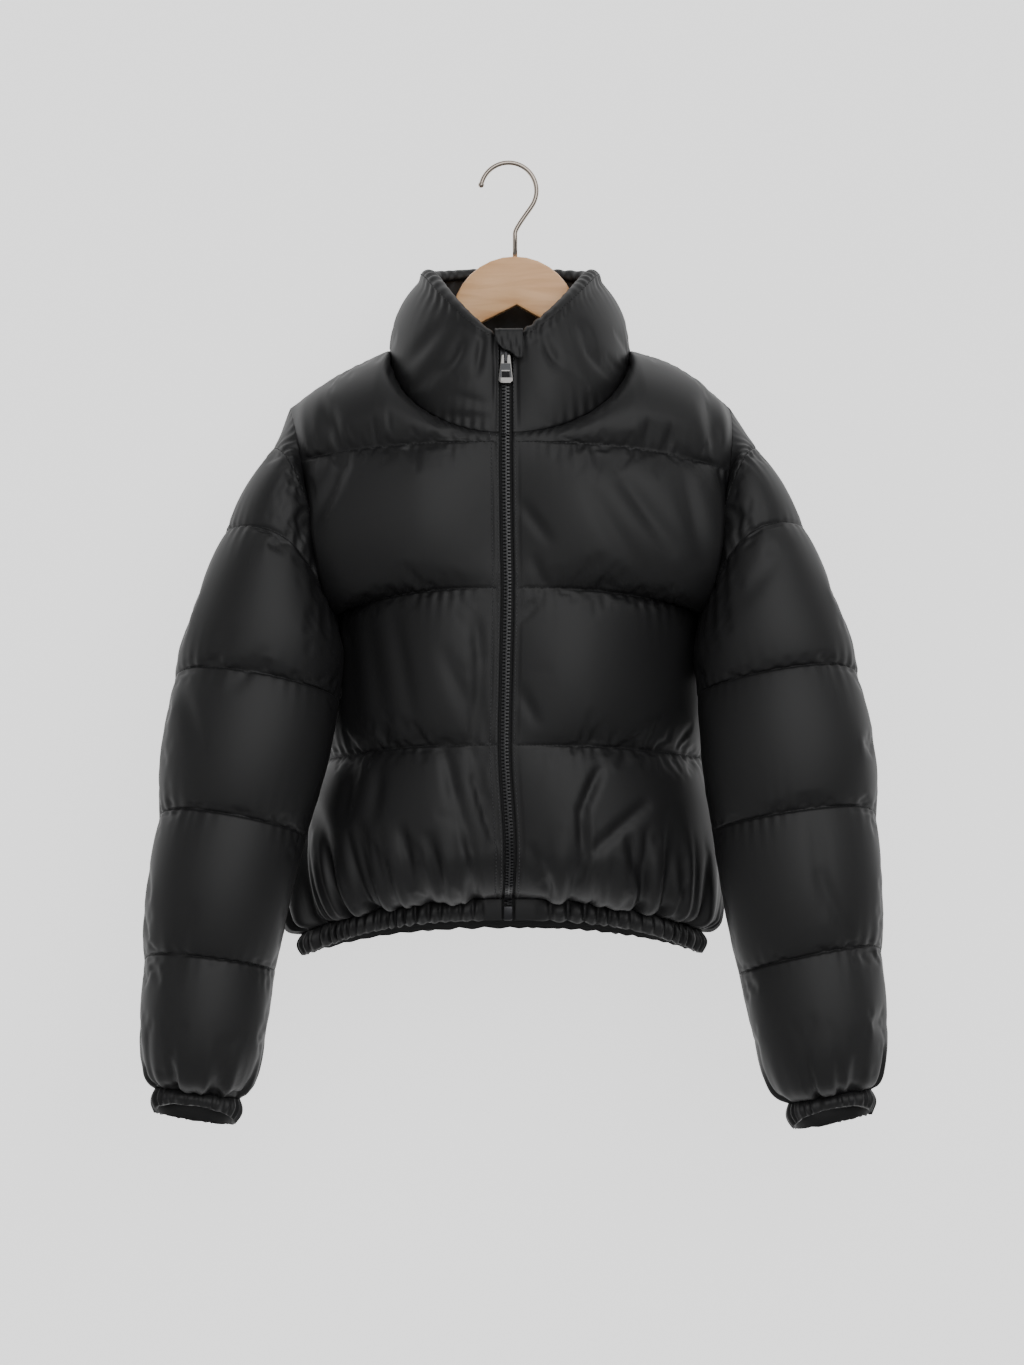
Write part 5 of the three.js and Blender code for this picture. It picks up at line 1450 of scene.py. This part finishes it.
@dataclass
class Studio:
    """The wall and the floor behind the object, the lights and the camera."""

    scale: float = 0.86
    frame_height: float = 1365.0

    def build(self) -> None:
        """Build the stage."""
        pale = Finish("pale_wall_paint", "#b4b4b4", 0.9).material()
        ground = Finish("pale_floor_paint", "#b4b4b4", 0.9).material()
        tree = pale.node_tree
        shader = tree.nodes["Principled BSDF"]
        shader.inputs["Emission Color"].default_value = linear("#ffffff")
        shader.inputs["Emission Strength"].default_value = 1.4
        left_foot, right_foot = (-4e3, 120, -2e3), (4e3, 120, -2e3)
        upright = np.array([left_foot, right_foot, (4e3, 120, 2e3), (-4e3, 120, 2e3)])
        level = np.array([(-4e3, -5e3, -2e3), (4e3, -5e3, -2e3), right_foot, left_foot])
        wall = new_object("wall", upright, [(0, 1, 2, 3)])
        floor = new_object("floor", level, [(0, 1, 2, 3)])
        wall.data.materials.append(pale)
        floor.data.materials.append(ground)
        if wall.data.polygons[0].normal.y > 0:
            wall.data.flip_normals()
        if floor.data.polygons[0].normal.z < 0:
            floor.data.flip_normals()
        side = add_node(tree, "ShaderNodeNewGeometry", {}, {})
        clear = add_node(tree, "ShaderNodeBsdfTransparent", {}, {})
        mix = add_node(
            tree,
            "ShaderNodeMixShader",
            {},
            {0: side.outputs["Backfacing"], 1: shader.outputs[0], 2: clear.outputs[0]},
        )
        tree.links.new(mix.outputs[0], tree.nodes["Material Output"].inputs["Surface"])
        self.light("key", (700, -2300, 1150), 60, 2.0)
        self.light("fill", (-1600, -2400, -300), 80, 0.6)
        world = bpy.data.worlds.new("soft_studio")
        world.use_nodes = True
        world.node_tree.nodes["Background"].inputs["Color"].default_value = linear("#ffffff")
        world.node_tree.nodes["Background"].inputs["Strength"].default_value = 0.15
        bpy.context.scene.world = world
        camera = bpy.data.cameras.new("camera")
        camera.sensor_width = 36.0
        camera.lens = 36.0 * EYE_DISTANCE / (self.scale * self.frame_height)
        camera.clip_end = 50.0
        eye = bpy.data.objects.new("camera", camera)
        bpy.context.scene.collection.objects.link(eye)
        eye.location = (EYE_X * MM, -EYE_DISTANCE * MM, EYE_Z * MM)
        eye.rotation_euler = (math.pi / 2, 0, 0)
        bpy.context.scene.camera = eye
        log.info("studio: wall, floor, two lights and the camera")

    def light(self, name: str, toward: tuple[float, float, float], spread: float, power: float) -> None:
        """Add a soft light that falls evenly on the whole object, as from a wide panel far away.

        Args:
            name: The light's name.
            toward: The direction from the object to the light.
            spread: How wide the panel looks from the object, in degrees.
            power: Its strength in watts a square metre.
        """
        lamp = bpy.data.lights.new(name, "SUN")
        lamp.angle = math.radians(spread)
        lamp.energy = power
        thing = bpy.data.objects.new(name, lamp)
        bpy.context.scene.collection.objects.link(thing)
        thing.location = Vector(toward) * MM
        thing.rotation_mode = "QUATERNION"
        thing.rotation_quaternion = Vector(toward).to_track_quat("Z", "Y")


def main() -> None:
    """Build the pieces in order, each over its CAD node."""
    # Black cloth with a soft satin sheen on the crests of its padding and a fine uneven weave
    taffeta = Finish("woven_polyester_taffeta", "#141415", 0.55, specular=0.38, grain=0.1, grain_size=1.6).material()
    # Matt and grainy, so that the tapes sink back beside the teeth; it is also the painted shade in the pull's window
    knit_and_window_shade = Finish("knitted_polyester_tape", "#141415", 0.85, grain=0.5, grain_size=0.8).material()
    # Smooth dark plastic: each tooth catches a small light
    acetal = Finish("moulded_acetal", "#1d1d1f", 0.3).material()
    # Dull black thread, darker than the cloth as painted shade of each quilt line's groove, so that it shows only as a
    # fine dark broken line
    thread = Finish("spun_polyester_thread", "#0e0e0f", 0.7).material()
    # Black thread painted mid grey: a painted sheen, so that it seems to catch the light beside the zip
    sheen_painted_thread = Finish("glossy_polyester_thread", "#38383a", 0.45).material()
    # Bright rims on the pull and a warm wire on the hook
    nickel = Finish("nickel_plated_zinc", "#7a7876", 0.25, metallic=1.0).material()
    steel = Finish("nickel_plated_steel", "#a59b91", 0.14, metallic=1.0).material()
    # Zinc with its colour painted dark: painted shade, so that the slider stays as dark as the shade behind the pull;
    # the box is darkened the same way
    zinc_painted_dark = Finish("dark_plated_zinc", "#3c3c3e", 0.36, metallic=1.0).material()
    # Dark face of the pull, inside its bright rim
    enamel = Finish("slate_enamel", "#2f3135", 0.35).material()

    built = [
        Pad.body("front_panel_left", Face.FRONT, [Side.LEFT]),
        Pad.body("front_panel_right", Face.FRONT, [Side.RIGHT]),
        Pad.body("back_panel", Face.BACK, [Side.LEFT, Side.RIGHT]),
        Pad.collar(),
        *[Pad.sleeve(face, side) for side in Side for face in Face],
    ]
    Filling().swell(built)
    pads = {pad.node: pad for pad in built}
    for pad in built:
        pad.build(taffeta)
    Elastic.hem().build(taffeta)
    for side in Side:
        Elastic.cuff(side).build(taffeta)
    # The topstitches beside the zip use the thread with painted sheen
    Thread(half=0.36).lay("edge_stitches", edge_lines(pads), sheen_painted_thread)
    # The quilt stitches use the thread darkened as painted shade
    Thread(stitch=2.6, gap=0.8, half=0.3).lay("quilt_stitches", quilt_lines(pads), thread)

    Teeth().build(acetal)
    Garage().build(taffeta)
    PullInlay().build(enamel, knit_and_window_shade)
    for node in ("zip_tape_left", "zip_tape_right"):
        dress_node(node, knit_and_window_shade)
    # The slider and the box use the zinc painted dark
    dress_node("zip_slider", zinc_painted_dark, 0.4)
    dress_node("zip_pull", nickel, 0.3)
    dress_node("zip_box", zinc_painted_dark, 0.9)
    Hook().build(steel)
    dress_node("hanger_wood", Beech().material())
    Studio().build()


if __name__ == "__main__":
    main()
